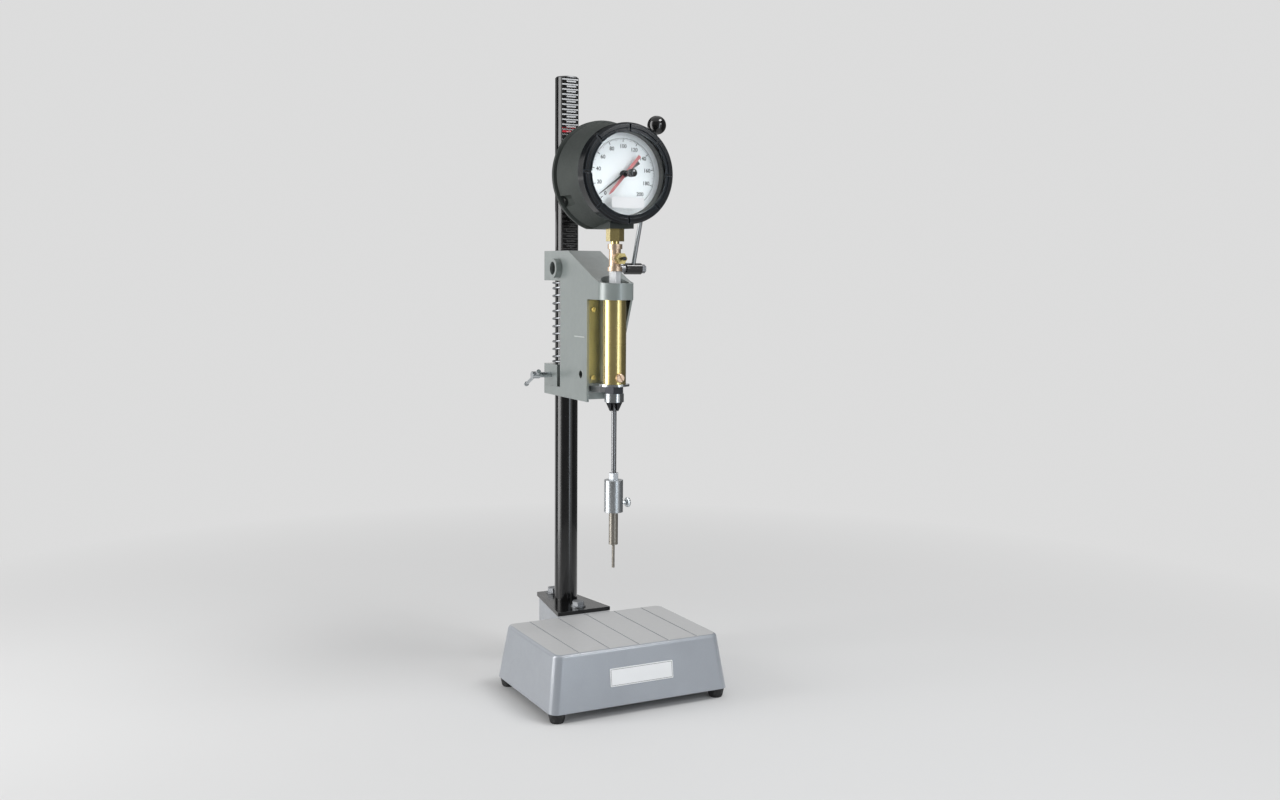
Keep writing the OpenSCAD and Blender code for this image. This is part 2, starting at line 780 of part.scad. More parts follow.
module head_hollows() {
    inside = head_w - 2 * wall_t;
    // Recess for the cylinder block, and the open pocket under it
    translate([-inside / 2, wall_front - past, block_bottom - rest_gap])
        cube([inside, block_t + past + rest_gap, nose_bottom - block_bottom + rest_gap]);
    translate([-inside / 2, wall_front - past, head_bottom - past])
        cube([inside, pocket_depth + past, pocket_h + past]);
    // Channel, open towards the column
    translate([-channel_w / 2, block_rear + web_t, head_bottom + floor_h])
        cube([channel_w, web_rear - block_rear - web_t + past, upper_arm_bottom - head_bottom - floor_h]);
    pinion_slot();
}

module head_bores() {
    guide_d = column_d + 2 * guide_wall + 2 * seat_fit;
    translate([0, throat, head_bottom - past]) cylinder(h = head_h + 2 * past, d = guide_d);
    translate([left_boss_x - past, pinion_y, pinion_z])
        along_x(right_boss_x - left_boss_x + 2 * past, bush_d + 2 * run_fit);
    translate([left_boss_x - past, pinion_y, pinion_z]) along_x(boss_hole_depth + past, boss_hole_d);
    translate([0, 0, nose_bottom - past]) cylinder(h = barrel_seat + past, d = barrel_d + 2 * seat_fit);
    translate([0, 0, nose_bottom]) cylinder(h = nose_h, d = stem_d + 2 * seat_fit);
    translate([0, 0, port_seat]) cylinder(h = head_h, d = recess_d);
    translate([-nose_r - past, side_hole_y, side_hole_z]) along_x(nose_r / 2, side_hole_d);
    for (x = [-block_screw_x, block_screw_x], z = [block_screw_low, block_screw_high])
        translate([x, block_rear + block_screw_grip, z]) along_front(web_t, block_screw_d);
    translate([0, block_rear + web_t, head_bottom + pocket_h - past])
        cylinder(h = pocket_bolt_grip + past, d = pocket_bolt_d);
}

module head_casting() {
    color([0.6, 0.64, 0.64]) at_needle() difference() {
        head_body();
        head_hollows();
        head_bores();
    }
}

module guide_bush(low, high) {
    translate([0, 0, low]) pipe(high - low, column_d + 2 * guide_wall, column_d + 2 * run_fit);
}

module upper_guide_bush() {
    color([0.72, 0.5, 0.25]) difference() {
        at_column() guide_bush(upper_arm_bottom, head_top);
        at_needle() pinion_slot();
    }
}

module lower_guide_bush() {
    color([0.72, 0.5, 0.25]) at_column() guide_bush(head_bottom, lower_arm_top);
}

// Lever, pinion and shaft
module shaft_bushes() {
    left_end = left_boss_x + boss_hole_depth;
    color([0.72, 0.5, 0.25]) at_shaft() {
        translate([left_end, 0, 0]) rotate([0, 90, 0])
            pipe(-left_end - slot_half, bush_d, shaft_d + 2 * run_fit);
        translate([slot_half, 0, 0]) rotate([0, 90, 0])
            pipe(right_boss_x - slot_half, bush_d, shaft_d + 2 * run_fit);
    }
}

shaft_left = left_boss_x + boss_hole_depth - shaft_end;
shaft_right = hub_x + hub_l - shaft_end;
module pinion_shaft() {
    screw_d = hub_screw_h / 2;
    color("lightgray") at_shaft() difference() {
        translate([shaft_left, 0, 0]) along_x(shaft_right - shaft_left, shaft_d);
        translate([shaft_right - 2 * hub_screw_h, 0, 0]) along_x(2 * hub_screw_h + past, screw_d);
    }
}

base_r = pitch_r * cos(pressure_angle);
root_r = pitch_r - rack_addendum - tooth_clear;
function roll(r) = let (a = acos(min(1, base_r / r))) tan(a) * 180 / PI - a;
half_base = 90 / pinion_teeth + roll(pitch_r) - backlash / pitch_r * 180 / PI / 2;
flank_steps = 6;
flank = [for (i = [0 : flank_steps]) let (r = base_r + (pinion_tip_r - base_r) * i / flank_steps)
    [r, half_base - roll(r)]];
function polar(r, a) = [r * cos(a), r * sin(a)];
function tooth(a) = concat([polar(root_r, a - half_base)], [for (p = flank) polar(p[0], a - p[1])],
    [for (i = [flank_steps : -1 : 0]) polar(flank[i][0], a + flank[i][1])], [polar(root_r, a + half_base)]);

// A tooth points at the rack when the head rests
module pinion() {
    color("dimgray") at_shaft() difference() {
        translate([-pinion_w / 2, 0, 0]) rotate([90, 0, 90]) linear_extrude(height = pinion_w)
            polygon([for (i = [0 : pinion_teeth - 1]) each tooth(360 * i / pinion_teeth)]);
        translate([-pinion_w, 0, 0]) along_x(2 * pinion_w, shaft_d + 2 * seat_fit);
    }
}

module shaft_collar() {
    color("dimgray") at_shaft() translate([shaft_left, 0, 0]) rotate([0, 90, 0])
        pipe(shaft_end - rest_gap, boss_hole_d - 3, shaft_d + 2 * seat_fit);
}

module lever_hub() {
    color([0.05, 0.05, 0.05]) at_shaft() difference() {
        translate([hub_x, 0, 0]) along_x(hub_l, hub_d);
        translate([hub_x - past, 0, 0]) along_x(hub_l - shaft_end + past, shaft_d + 2 * seat_fit);
        translate([hub_x, 0, 0]) along_x(hub_l + past, hub_screw_h / 2 + 2 * seat_fit);
        translate([hub_x + hub_l / 2, 0, 0]) rotate([lever_lean, 0, 0])
            cylinder(h = hub_d, d = lever_d + 2 * seat_fit);
    }
}

module hub_end_screw() {
    screw_d = hub_screw_h / 2;
    color("silver") at_shaft() translate([hub_x + hub_l, 0, 0]) {
        rotate([0, 90, 0]) hexagon(hub_screw_af, hub_screw_h);
        translate([-shaft_end - hub_screw_h, 0, 0])
            along_x(shaft_end + 2 * hub_screw_h, screw_d - 2 * seat_fit);
    }
}

module at_lever() { at_shaft() translate([hub_x + hub_l / 2, 0, 0]) rotate([lever_lean, 0, 0]) children(); }

module lever_rod() {
    start = shaft_d / 2 + 0.3;
    color("silver") at_lever() translate([0, 0, start]) cylinder(h = lever_l - start, d = lever_d);
}

module ball_knob() {
    color([0.03, 0.03, 0.03]) at_lever() difference() {
        translate([0, 0, lever_l]) sphere(d = ball_d);
        translate([0, 0, lever_l - ball_d]) cylinder(h = ball_d, d = lever_d + 2 * seat_fit);
    }
}

// Cylinder
module cylinder_block() {
    plate_w = head_w - 2 * wall_t - 2 * rest_gap;
    neck_bottom = max(block_bottom, barrel_bottom + past);
    color([0.72, 0.6, 0.25]) at_needle() difference() {
        union() {
            translate([-plate_w / 2, wall_front, block_bottom])
                cube([plate_w, block_t, block_top - block_bottom]);
            translate([-neck_w / 2, 0, neck_bottom])
                cube([neck_w, wall_front + past, block_top - neck_bottom]);
        }
        translate([0, 0, barrel_bottom - past]) cylinder(h = head_h, d = barrel_d + 2 * seat_fit);
        for (x = [-block_screw_x, block_screw_x], z = [block_screw_low, block_screw_high])
            translate([x, block_rear + past, z]) along_front(block_t + 2 * past, block_screw_d);
    }
}

module block_screws() {
    head_d = 8;
    head_t = 3;
    length = block_t + block_screw_grip - past;
    color("goldenrod") at_needle()
        for (x = [-block_screw_x, block_screw_x], z = [block_screw_low, block_screw_high])
            translate([x, wall_front, z]) {
                along_front(head_t, head_d);
                translate([0, length, 0]) along_front(length, block_screw_d - 2 * seat_fit);
            }
}

bleed_z = barrel_bottom + 10;
bleed_d = 6;
bleed_head_d = 13.5;
bleed_head = 6;
module cylinder_barrel() {
    color([0.76, 0.63, 0.28]) at_needle() difference() {
        translate([0, 0, barrel_bottom]) cylinder(h = barrel_l + barrel_seat - rest_gap, d = barrel_d);
        translate([0, 0, barrel_bottom - past]) cylinder(h = bore_top - barrel_bottom + past, d = bore_d);
        translate([0, 0, bore_top - past]) cylinder(h = barrel_top_t + 2 * past, d = port_bore);
        translate([0, 0, nose_bottom]) cylinder(h = barrel_seat + past, d = stem_d + 2 * seat_fit);
        translate([0, 0, bleed_z]) along_front(barrel_d, bleed_d + 2 * seat_fit);
        translate([0, -barrel_d / 2 + past, bleed_z]) along_front(barrel_d, bleed_head_d + 1);
    }
}

module bleed_plug() {
    edge = 1;
    slot_w = 2;
    low = bleed_head - edge;
    color([0.8, 0.56, 0.42]) at_needle() translate([0, 0, bleed_z]) {
        translate([0, -barrel_d / 2 + past, 0]) rotate([90, 0, 0]) difference() {
            union() {
                cylinder(h = low, d = bleed_head_d);
                translate([0, 0, low]) cylinder(h = edge, d1 = bleed_head_d, d2 = bleed_head_d - 2 * edge);
            }
            rotate(-60) translate([-bleed_head_d, -slot_w / 2, low - edge])
                cube([2 * bleed_head_d, slot_w, bleed_head]);
        }
        translate([0, -bore_d / 2 - past, 0]) along_front(barrel_d / 2 - bore_d / 2, bleed_d);
    }
}

module bottom_flange() {
    color("gray") at_needle() translate([0, 0, flange_bottom]) pipe(flange_t, flange_d, rod_hole_d + 2);
}

module gland_nut() {
    color([0.07, 0.07, 0.07]) at_needle() difference() {
        translate([0, 0, gland_bottom]) hexagon(gland_af, gland_h);
        translate([0, 0, gland_bottom - past]) cylinder(h = gland_h + 2 * past, d = rod_hole_d);
    }
}

module lock_ring() {
    color("silver") at_needle() translate([0, 0, ring_bottom]) pipe(ring_h, ring_d, rod_hole_d);
}

module rod_cone() {
    slot = rod_d + 1;
    color([0.05, 0.05, 0.05]) at_needle() difference() {
        translate([0, 0, cone_bottom]) cylinder(h = cone_h, d1 = cone_tip_d, d2 = cone_d);
        translate([0, 0, cone_bottom - past]) cylinder(h = cone_h + 2 * past, d = rod_hole_d + 1);
        rotate([0, 0, -27]) translate([-slot / 2, -cone_d, cone_bottom - past])
            cube([slot, cone_d, cone_h - 2 + past]);
    }
}

module pocket_bolt() {
    head_af = 25;
    head_t = 9;
    color("silver") at_needle() translate([0, block_rear + web_t, head_bottom + pocket_h]) {
        translate([0, 0, -washer_t]) cylinder(h = washer_t, d = pocket_washer_d);
        translate([0, 0, -washer_t - head_t]) rotate(15) hexagon(head_af, head_t);
        translate([0, 0, -washer_t])
            cylinder(h = washer_t + pocket_bolt_grip - past, d = pocket_bolt_d - 2 * seat_fit);
    }
}

seal_h = 4;
seal_depth = 2.5;
seal_rise = 9;
module piston() {
    color("silver") at_needle() difference() {
        translate([0, 0, piston_bottom]) cylinder(h = piston_h, d = bore_d - 2 * run_fit);
        translate([0, 0, piston_bottom + seal_rise])
            pipe(seal_h, bore_d + past, bore_d - 2 * seal_depth);
        translate([0, 0, piston_bottom - past]) cylinder(h = piston_h / 2 + past, d = rod_d + 2 * seat_fit);
    }
}

module piston_seal() {
    color([0.1, 0.1, 0.1]) at_needle() translate([0, 0, piston_bottom + seal_rise + seat_fit])
        pipe(seal_h - 2 * seat_fit, bore_d - 2 * seat_fit, bore_d - 2 * seal_depth + 2 * seat_fit);
}

module piston_rod() {
    low = chuck_top - rod_thread;
    high = piston_bottom + piston_h / 2;
    color("silver") at_needle() translate([0, 0, low]) cylinder(h = high - low, d = rod_d);
}

module jam_nut() {
    color("silver") at_needle() difference() {
        translate([0, 0, chuck_top]) hexagon(jam_af, jam_h);
        translate([0, 0, chuck_top - past]) cylinder(h = jam_h + 2 * past, d = rod_d + 2 * seat_fit);
    }
}

thumb_thread = 5;
module chuck() {
    color("lightgray") at_needle() difference() {
        translate([0, 0, chuck_bottom]) cylinder(h = chuck_l, d = chuck_d);
        translate([0, 0, chuck_top - rod_thread]) cylinder(h = rod_thread + past, d = rod_d + 2 * seat_fit);
        translate([0, 0, chuck_bottom - past]) cylinder(h = socket_depth + past, d = shank_d + 2 * seat_fit);
        translate([0, 0, thumb_z]) along_x(chuck_d, thumb_thread + 2 * run_fit);
    }
}

module thumbscrew() {
    neck = 7;
    head_t = 5;
    color("silver") at_needle() translate([0, 0, thumb_z]) {
        translate([shank_d / 2 + 0.3, 0, 0]) along_x(chuck_d / 2 + neck - shank_d / 2, thumb_thread);
        translate([chuck_d / 2 + neck, 0, 0]) along_x(head_t, thumb_d);
    }
}

module needle() {
    color([0.7, 0.68, 0.64]) at_needle() {
        translate([0, 0, shank_bottom]) cylinder(h = shank_l + socket_depth - rest_gap, d = shank_d);
        translate([0, 0, tip_bottom]) cylinder(h = tip_l + past, d = tip_d);
    }
}

// Fittings between cylinder and gauge
module port_nut() {
    stem = port_seat - nose_bottom - 2;
    color("silver") at_needle() translate([0, 0, port_seat]) difference() {
        union() {
            rotate(15) hexagon(port_af, port_h);
            translate([0, 0, -stem]) cylinder(h = stem + past, d = stem_d);
        }
        translate([0, 0, -stem - past]) cylinder(h = stem + port_h + 2 * past, d = port_bore);
    }
}

module tee() {
    color([0.74, 0.58, 0.3]) at_needle() difference() {
        union() {
            translate([0, 0, tee_bottom]) cylinder(h = tee_h, d = tee_d);
            translate([0, 0, tee_bottom]) cylinder(h = tee_foot_h, d = tee_ring_d);
            translate([0, 0, tee_ring_bottom]) cylinder(h = tee_ring_h, d = tee_ring_d);
            translate([0, 0, tee_branch_z]) along_front(tee_branch_l, tee_d - 2);
        }
        translate([0, 0, tee_bottom - past]) cylinder(h = tee_h, d = port_bore);
        translate([0, 0, tee_top - stem_depth]) cylinder(h = stem_depth + past, d = stem_d + 2 * seat_fit);
        translate([0, 0, tee_branch_z]) along_front(tee_branch_l + past, port_bore);
        translate([0, -tee_d / 2, tee_branch_z]) along_front(tee_branch_l, plug_af / 2 + 2 * seat_fit);
    }
}

plug_h = 9;
bleed_screw_d = 4;
module tee_plug() {
    stem = tee_branch_l - tee_d / 2;
    color([0.72, 0.6, 0.25]) at_needle() translate([0, 0, tee_branch_z]) difference() {
        union() {
            translate([0, -tee_branch_l, 0]) rotate([90, 0, 0]) hexagon(plug_af, plug_h);
            translate([0, -tee_branch_l + stem, 0]) along_front(stem + past, plug_af / 2);
        }
        along_front(tee_branch_l + plug_h + past, bleed_screw_d + 2 * seat_fit);
    }
}

module bleed_screw() {
    out = tee_branch_l + plug_h;
    color([0.1, 0.1, 0.1]) at_needle() translate([0, 0, tee_branch_z]) {
        translate([0, -tee_d / 2, 0]) along_front(out - tee_d / 2 + 6, bleed_screw_d);
        translate([0, -out - 6, 0]) along_front(4, bleed_screw_d + 2);
    }
}

socket_body_d = 20;
module gauge_socket() {
    block_w = 28;
    block_h = 14;
    block_y = -tube_r - block_h / 2;
    color([0.72, 0.6, 0.25]) difference() {
        union() {
            at_needle() {
                translate([0, 0, hex_bottom]) rotate(30) hexagon(socket_af, socket_hex_h);
                translate([0, 0, tee_top - stem_depth + rest_gap])
                    cylinder(h = stem_depth + past + 4, d = stem_d);
                translate([0, 0, hex_top - past])
                    cylinder(h = case_flat + block_y + 2 * past, d = socket_body_d);
            }
            at_gauge() translate([-block_w / 2, block_y, tube_rear - 2])
                cube([block_w, block_h, gauge_back + socket_body_d / 2 - 3 - tube_rear]);
        }
        at_needle() translate([0, 0, tee_top - stem_depth - past])
            cylinder(h = stem_depth + 4 + socket_hex_h + case_flat - tube_r, d = port_bore);
        at_gauge() bourdon_sweep(seat_fit, 0);
    }
}

// Gauge
case_lug_angles = [90, 210, 330];
module case_outline() {
    polygon([[chamber_r, 0], [flange_r, 0], [flange_r, 6], [case_r_rear - 1.5, 7.5], [case_r_rear, 10],
        [case_r_front, bezel_rear - 3], [case_r_front, bezel_rear - 0.3], [thread_r, bezel_rear - 0.3],
        [thread_r, rim_front], [window_r, rim_front], [window_r, dial_rear], [13, dial_rear], [13, wall_rear],
        [chamber_r, wall_rear]]);
}

module gauge_case() {
    pocket_d = 19;
    color([0.2, 0.22, 0.22]) difference() {
        at_gauge() {
            rotate_extrude() case_outline();
            translate([-pad_w / 2, -flange_r, past])
                cube([pad_w, flange_r - chamber_r - case_wall / 4, bezel_rear - 3 - past]);
        }
        at_gauge() {
            translate([-flange_r, -flange_r - case_flat, -past]) cube([2 * flange_r, flange_r, gauge_depth]);
            for (a = case_lug_angles) rotate([0, 0, a]) {
                translate([case_r_rear + 1, 0, 7]) cylinder(h = gauge_depth / 3, d = pocket_d);
                translate([case_r_rear - 4, 0, -past]) cylinder(h = 10, d = 6);
            }
        }
        at_needle() translate([0, 0, hex_top - past])
            cylinder(h = case_flat / 2, d = socket_body_d + 2 * seat_fit);
    }
}

module case_back() {
    color([0.15, 0.16, 0.16]) at_gauge()
        translate([0, 0, past]) cylinder(h = back_t, r = chamber_r - seat_fit);
}

// The flat tube's path, grown on all sides, and lengthened at its fixed end
module bourdon_sweep(grow, extra) {
    rotate([0, 0, tube_start - extra]) rotate_extrude(angle = tube_sweep + extra)
        translate([tube_r - tube_t / 2 - grow, tube_rear - grow])
            square([tube_t + 2 * grow, tube_w + 2 * grow]);
}

module bourdon_tube() {
    tube_wall = 1.2;
    color([0.75, 0.6, 0.35]) at_gauge() difference() {
        bourdon_sweep(0, 0);
        rotate([0, 0, -3]) bourdon_sweep(-tube_wall, 2);
    }
}

module gauge_movement() {
    plate_w = 26;
    plate_l = tube_r;
    low = -tube_r + 15;
    post_x = 9;
    post_d = 5;
    color([0.78, 0.64, 0.32]) at_gauge() difference() {
        union() {
            for (z = [wall_rear - post_d, wall_rear - works_depth])
                translate([-plate_w / 2, low, z]) cube([plate_w, plate_l, post_d / 2]);
            for (x = [-post_x, post_x], y = [low + post_d, low + plate_l - post_d / 2])
                translate([x, y, wall_rear - works_depth]) cylinder(h = works_depth, d = post_d);
        }
        translate([0, 0, wall_rear - works_depth - past])
            cylinder(h = works_depth + past, d = arbor_d + 2 * run_fit);
    }
}

module dial() {
    color("white") at_gauge() translate([0, 0, dial_rear]) pipe(dial_t, window_d - 0.4, 10);
}

module bezel_gasket() {
    color([0.1, 0.1, 0.1]) at_gauge() translate([0, 0, rim_front]) pipe(gasket_t, 2 * lens_r, window_d);
}

module lens() {
    color([0.85, 0.92, 0.95, 0.3]) at_gauge() translate([0, 0, lens_rear])
        pipe(lens_t, 2 * lens_r, spindle_d + 2 * run_fit);
}

module bezel_ring() {
    notch_w = 4;
    seat = lens_r + seat_fit;
    color([0.08, 0.08, 0.09]) at_gauge() difference() {
        rotate_extrude()
            polygon([[thread_r + seat_fit, bezel_rear], [bezel_r, bezel_rear], [bezel_r, gauge_depth - 4],
                [bezel_r - 3, gauge_depth - 0.5], [bezel_r - 8, gauge_depth - 0.5],
                [bezel_r - 9, gauge_depth - 2], [bezel_r - 11, gauge_depth - 2],
                [bezel_r - 12, gauge_depth], [window_r, gauge_depth], [window_r, lens_front],
                [seat, lens_front], [seat, rim_front], [thread_r + seat_fit, rim_front]]);
        for (i = [0 : bezel_notches - 1]) rotate([0, 0, 360 * i / bezel_notches])
            translate([window_r - past, -notch_w / 2, gauge_depth - 3.2])
                cube([bezel_r - window_r, notch_w, 4]);
    }
}

module at_pointer(angle, z) { at_gauge() translate([0, 0, z]) rotate([0, 0, angle]) children(); }

module pointer() {
    tail = 31;
    blade_t = 0.8;
    color([0.05, 0.05, 0.05]) {
        at_pointer(pointer_angle, dial_front + 3) {
            linear_extrude(height = blade_t)
                polygon([[-tail, -3.5], [-tail, 3.5], [0, 1.6],
                    [pointer_l, 0.5], [pointer_l, -0.5], [0, -1.6]]);
            translate([0, 0, -1]) cylinder(h = 3, d = 11);
        }
        at_gauge() translate([0, 0, wall_rear - arbor_tail])
            cylinder(h = dial_front + 3 - wall_rear + arbor_tail, d = arbor_d);
    }
}

max_rise = 9;
module max_pointer() {
    tail = 36;
    tip = pointer_l - 8;
    color([0.75, 0.1, 0.1]) at_pointer(max_angle, dial_front + max_rise) {
        linear_extrude(height = 0.8)
            polygon([[-tail, -2.5], [-tail, 2.5],
                [tip - 8, 2.2], [tip, 0], [tip - 8, -2.2]]);
        cylinder(h = 2.5, d = 9);
    }
}

module reset_knob() {
    start = dial_front + max_rise + 2.5;
    color([0.04, 0.04, 0.04]) at_gauge() {
        translate([0, 0, start]) cylinder(h = gauge_depth + 2 - start, d = spindle_d);
        translate([0, 0, lens_front + 1]) cylinder(h = 4, d = 8);
        translate([0, 0, gauge_depth]) cylinder(h = 14, d = knob_d);
    }
}

base_casting();
rubber_feet();
foot_screws();
label_plate();
foot_plate();
foot_plate_bolts();
foot_plate_washers();
column();
column_screw();
clamp_collar();
clamp_screw();
clamp_bar();
return_spring();
head_casting();
upper_guide_bush();
lower_guide_bush();
shaft_bushes();
pinion_shaft();
pinion();
shaft_collar();
lever_hub();
hub_end_screw();
lever_rod();
ball_knob();
cylinder_block();
block_screws();
cylinder_barrel();
bleed_plug();
bottom_flange();
gland_nut();
lock_ring();
rod_cone();
pocket_bolt();
piston();
piston_seal();
piston_rod();
jam_nut();
chuck();
thumbscrew();
needle();
port_nut();
tee();
tee_plug();
bleed_screw();
gauge_socket();
gauge_case();
case_back();
bourdon_tube();
gauge_movement();
dial();
bezel_gasket();
lens();
bezel_ring();
pointer();
max_pointer();
reset_knob();
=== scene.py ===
"""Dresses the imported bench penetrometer: looks, printed dial, wound spring, light and camera."""
import json
import math

import bmesh
import bpy
from mathutils import Matrix, Vector


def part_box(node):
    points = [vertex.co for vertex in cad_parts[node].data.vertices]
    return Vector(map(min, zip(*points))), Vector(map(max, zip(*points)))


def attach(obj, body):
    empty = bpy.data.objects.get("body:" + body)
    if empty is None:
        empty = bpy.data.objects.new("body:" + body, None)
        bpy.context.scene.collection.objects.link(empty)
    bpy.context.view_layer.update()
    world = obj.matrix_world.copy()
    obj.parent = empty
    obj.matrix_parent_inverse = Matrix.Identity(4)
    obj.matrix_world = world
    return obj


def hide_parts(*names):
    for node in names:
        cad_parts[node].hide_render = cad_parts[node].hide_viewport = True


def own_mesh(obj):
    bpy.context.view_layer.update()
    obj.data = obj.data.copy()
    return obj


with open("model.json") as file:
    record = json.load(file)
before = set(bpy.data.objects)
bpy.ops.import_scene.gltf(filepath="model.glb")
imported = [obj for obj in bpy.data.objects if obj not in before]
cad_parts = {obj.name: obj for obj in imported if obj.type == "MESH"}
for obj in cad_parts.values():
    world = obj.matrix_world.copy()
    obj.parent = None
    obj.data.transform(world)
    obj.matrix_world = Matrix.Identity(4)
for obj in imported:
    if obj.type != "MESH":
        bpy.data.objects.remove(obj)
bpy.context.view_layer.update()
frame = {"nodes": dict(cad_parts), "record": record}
nodes = frame["nodes"]
record = frame["record"]

MM = 0.001
QUARTER_TURN = math.pi / 2

# Places read from the frame: the dial's middle, and a paint mark near the top of the rack

dial_low, dial_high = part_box("dial")
DIAL_CENTRE = Vector((0, dial_low.y, (dial_low.z + dial_high.z) / 2))
column_low, column_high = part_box("column")
MARK_TOP = column_high.z - 81 * MM
MARK_BOTTOM = MARK_TOP - 9 * MM
MARK_BACK = column_low.y + 6.55 * MM
MARK_FADE = 1 * MM


def srgb(red, green, blue):
    """A colour as a picture editor writes it, from 0 to 255, in linear values."""
    def linear(value):
        share = value / 255
        return share / 12.92 if share <= 0.04045 else ((share + 0.055) / 1.055) ** 2.4
    return (linear(red), linear(green), linear(blue), 1.0)


def grey(level):
    """A linear colour without hue."""
    return (level, level, level, 1.0)


def scaled(color, factor):
    """The same hue, lighter or darker."""
    return tuple(min(1.0, part * factor) for part in color[:3]) + (1.0,)


# Looks: one class for the nodes that they share, then one function for each material


class Look:
    """A procedural material round one Principled shader."""

    def __init__(self, name, **sockets):
        self.material = bpy.data.materials.new(name)
        self.material.use_nodes = True
        self.tree = self.material.node_tree
        self.shader = self.tree.nodes["Principled BSDF"]
        self.output = self.tree.nodes["Material Output"]
        self.place = self.add("ShaderNodeTexCoord").outputs["Object"]
        for socket, value in sockets.items():
            self.put(socket.replace("_", " "), value)

    def feed(self, socket, value):
        """Links a node's output to the socket, or writes a constant on it."""
        if isinstance(value, bpy.types.NodeSocket):
            self.tree.links.new(value, socket)
        else:
            socket.default_value = value

    def put(self, name, value):
        """Feeds one of the shader's own sockets."""
        self.feed(self.shader.inputs[name], value)

    def color(self, value):
        """Feeds the shader's colour."""
        self.put("Base Color", value)

    def roughness(self, value):
        """Feeds the shader's roughness."""
        self.put("Roughness", value)

    def surface(self, node):
        """Lets a shader node take the place of the Principled one."""
        self.feed(self.output.inputs["Surface"], node.outputs[0])

    def add(self, kind, inputs=None, **settings):
        """A new node with its settings and inputs."""
        node = self.tree.nodes.new(kind)
        for key, value in settings.items():
            setattr(node, key, value)
        for key, value in (inputs or {}).items():
            self.feed(node.inputs[key], value)
        return node

    def mixed(self, share, first, second):
        """A shader node between two others."""
        return self.add("ShaderNodeMixShader", {0: share, 1: first.outputs[0], 2: second.outputs[0]})

    def vector(self, operation, first, second):
        """Two vectors joined by an operation that gives a vector."""
        return self.add("ShaderNodeVectorMath", {0: first, 1: second}, operation=operation).outputs[0]

    def length(self, vector):
        """The length of a vector."""
        return self.add("ShaderNodeVectorMath", {0: vector}, operation="LENGTH").outputs["Value"]

    def parts(self, vector):
        """The outputs X, Y and Z of a vector."""
        return self.add("ShaderNodeSeparateXYZ", {0: vector}).outputs

    def plus(self, first, second):
        """The sum of two values."""
        return self.add("ShaderNodeMath", {0: first, 1: second}, operation="ADD").outputs[0]

    def times(self, first, second):
        """The product of two values."""
        return self.add("ShaderNodeMath", {0: first, 1: second}, operation="MULTIPLY").outputs[0]

    def blend(self, share, first, second):
        """A colour between two others."""
        node = self.add("ShaderNodeMix", {0: share, 6: first, 7: second}, data_type="RGBA")
        return node.outputs[2]

    def span(self, value, start, full, low=0.0, high=1.0):
        """Maps start to full onto low to high, and holds the ends."""
        node = self.add("ShaderNodeMapRange", {"Value": value, "From Min": start, "From Max": full,
                                               "To Min": low, "To Max": high})
        return node.outputs["Result"]

    def noise(self, scale, detail=3.0, place=None):
        """Cloudy noise from 0 to 1."""
        where = self.place if place is None else place
        node = self.add("ShaderNodeTexNoise", {"Vector": where, "Scale": scale, "Detail": detail})
        return node.outputs["Fac"]

    def patches(self, scale, low=0.0, high=1.0, start=0.3, full=0.7, detail=3.0, place=None):
        """Cloudy patches: low where the noise is below start, and high where it is above full."""
        return self.span(self.noise(scale, detail, place), start, full, low, high)

    def edges(self, radius):
        """1 along sharp edges and 0 on open faces."""
        rounded = self.add("ShaderNodeBevel", {"Radius": radius}, samples=6).outputs[0]
        plain = self.add("ShaderNodeNewGeometry").outputs["Normal"]
        alike = self.add("ShaderNodeVectorMath", {0: rounded, 1: plain}, operation="DOT_PRODUCT")
        return self.span(alike.outputs["Value"], start=0.99, full=0.8)

    def wear(self, radius, amount):
        """Broken wear along the edges."""
        broken = self.patches(scale=90, start=0.42, full=0.62)
        return self.times(self.times(self.edges(radius), broken), amount)

    def hollows(self, reach, amount):
        """Painted shade: ambient occlusion darkens deep holes, pockets and grooves."""
        opened = self.add("ShaderNodeAmbientOcclusion", {"Distance": reach}, samples=8).outputs["AO"]
        return self.span(opened, start=0.6, full=0.3, high=amount)

    def level(self):
        """1 on faces that look straight up."""
        normal = self.add("ShaderNodeNewGeometry").outputs["Normal"]
        return self.span(self.parts(normal)["Z"], start=0.97, full=0.995)

    def relief(self, height, depth, edge=0.4 * MM):
        """Bump of that depth, over edges that are eased by a small radius."""
        eased = self.add("ShaderNodeBevel", {"Radius": edge}, samples=4).outputs[0]
        bump = self.add("ShaderNodeBump", {"Height": height, "Distance": depth, "Normal": eased})
        self.put("Normal", bump.outputs[0])


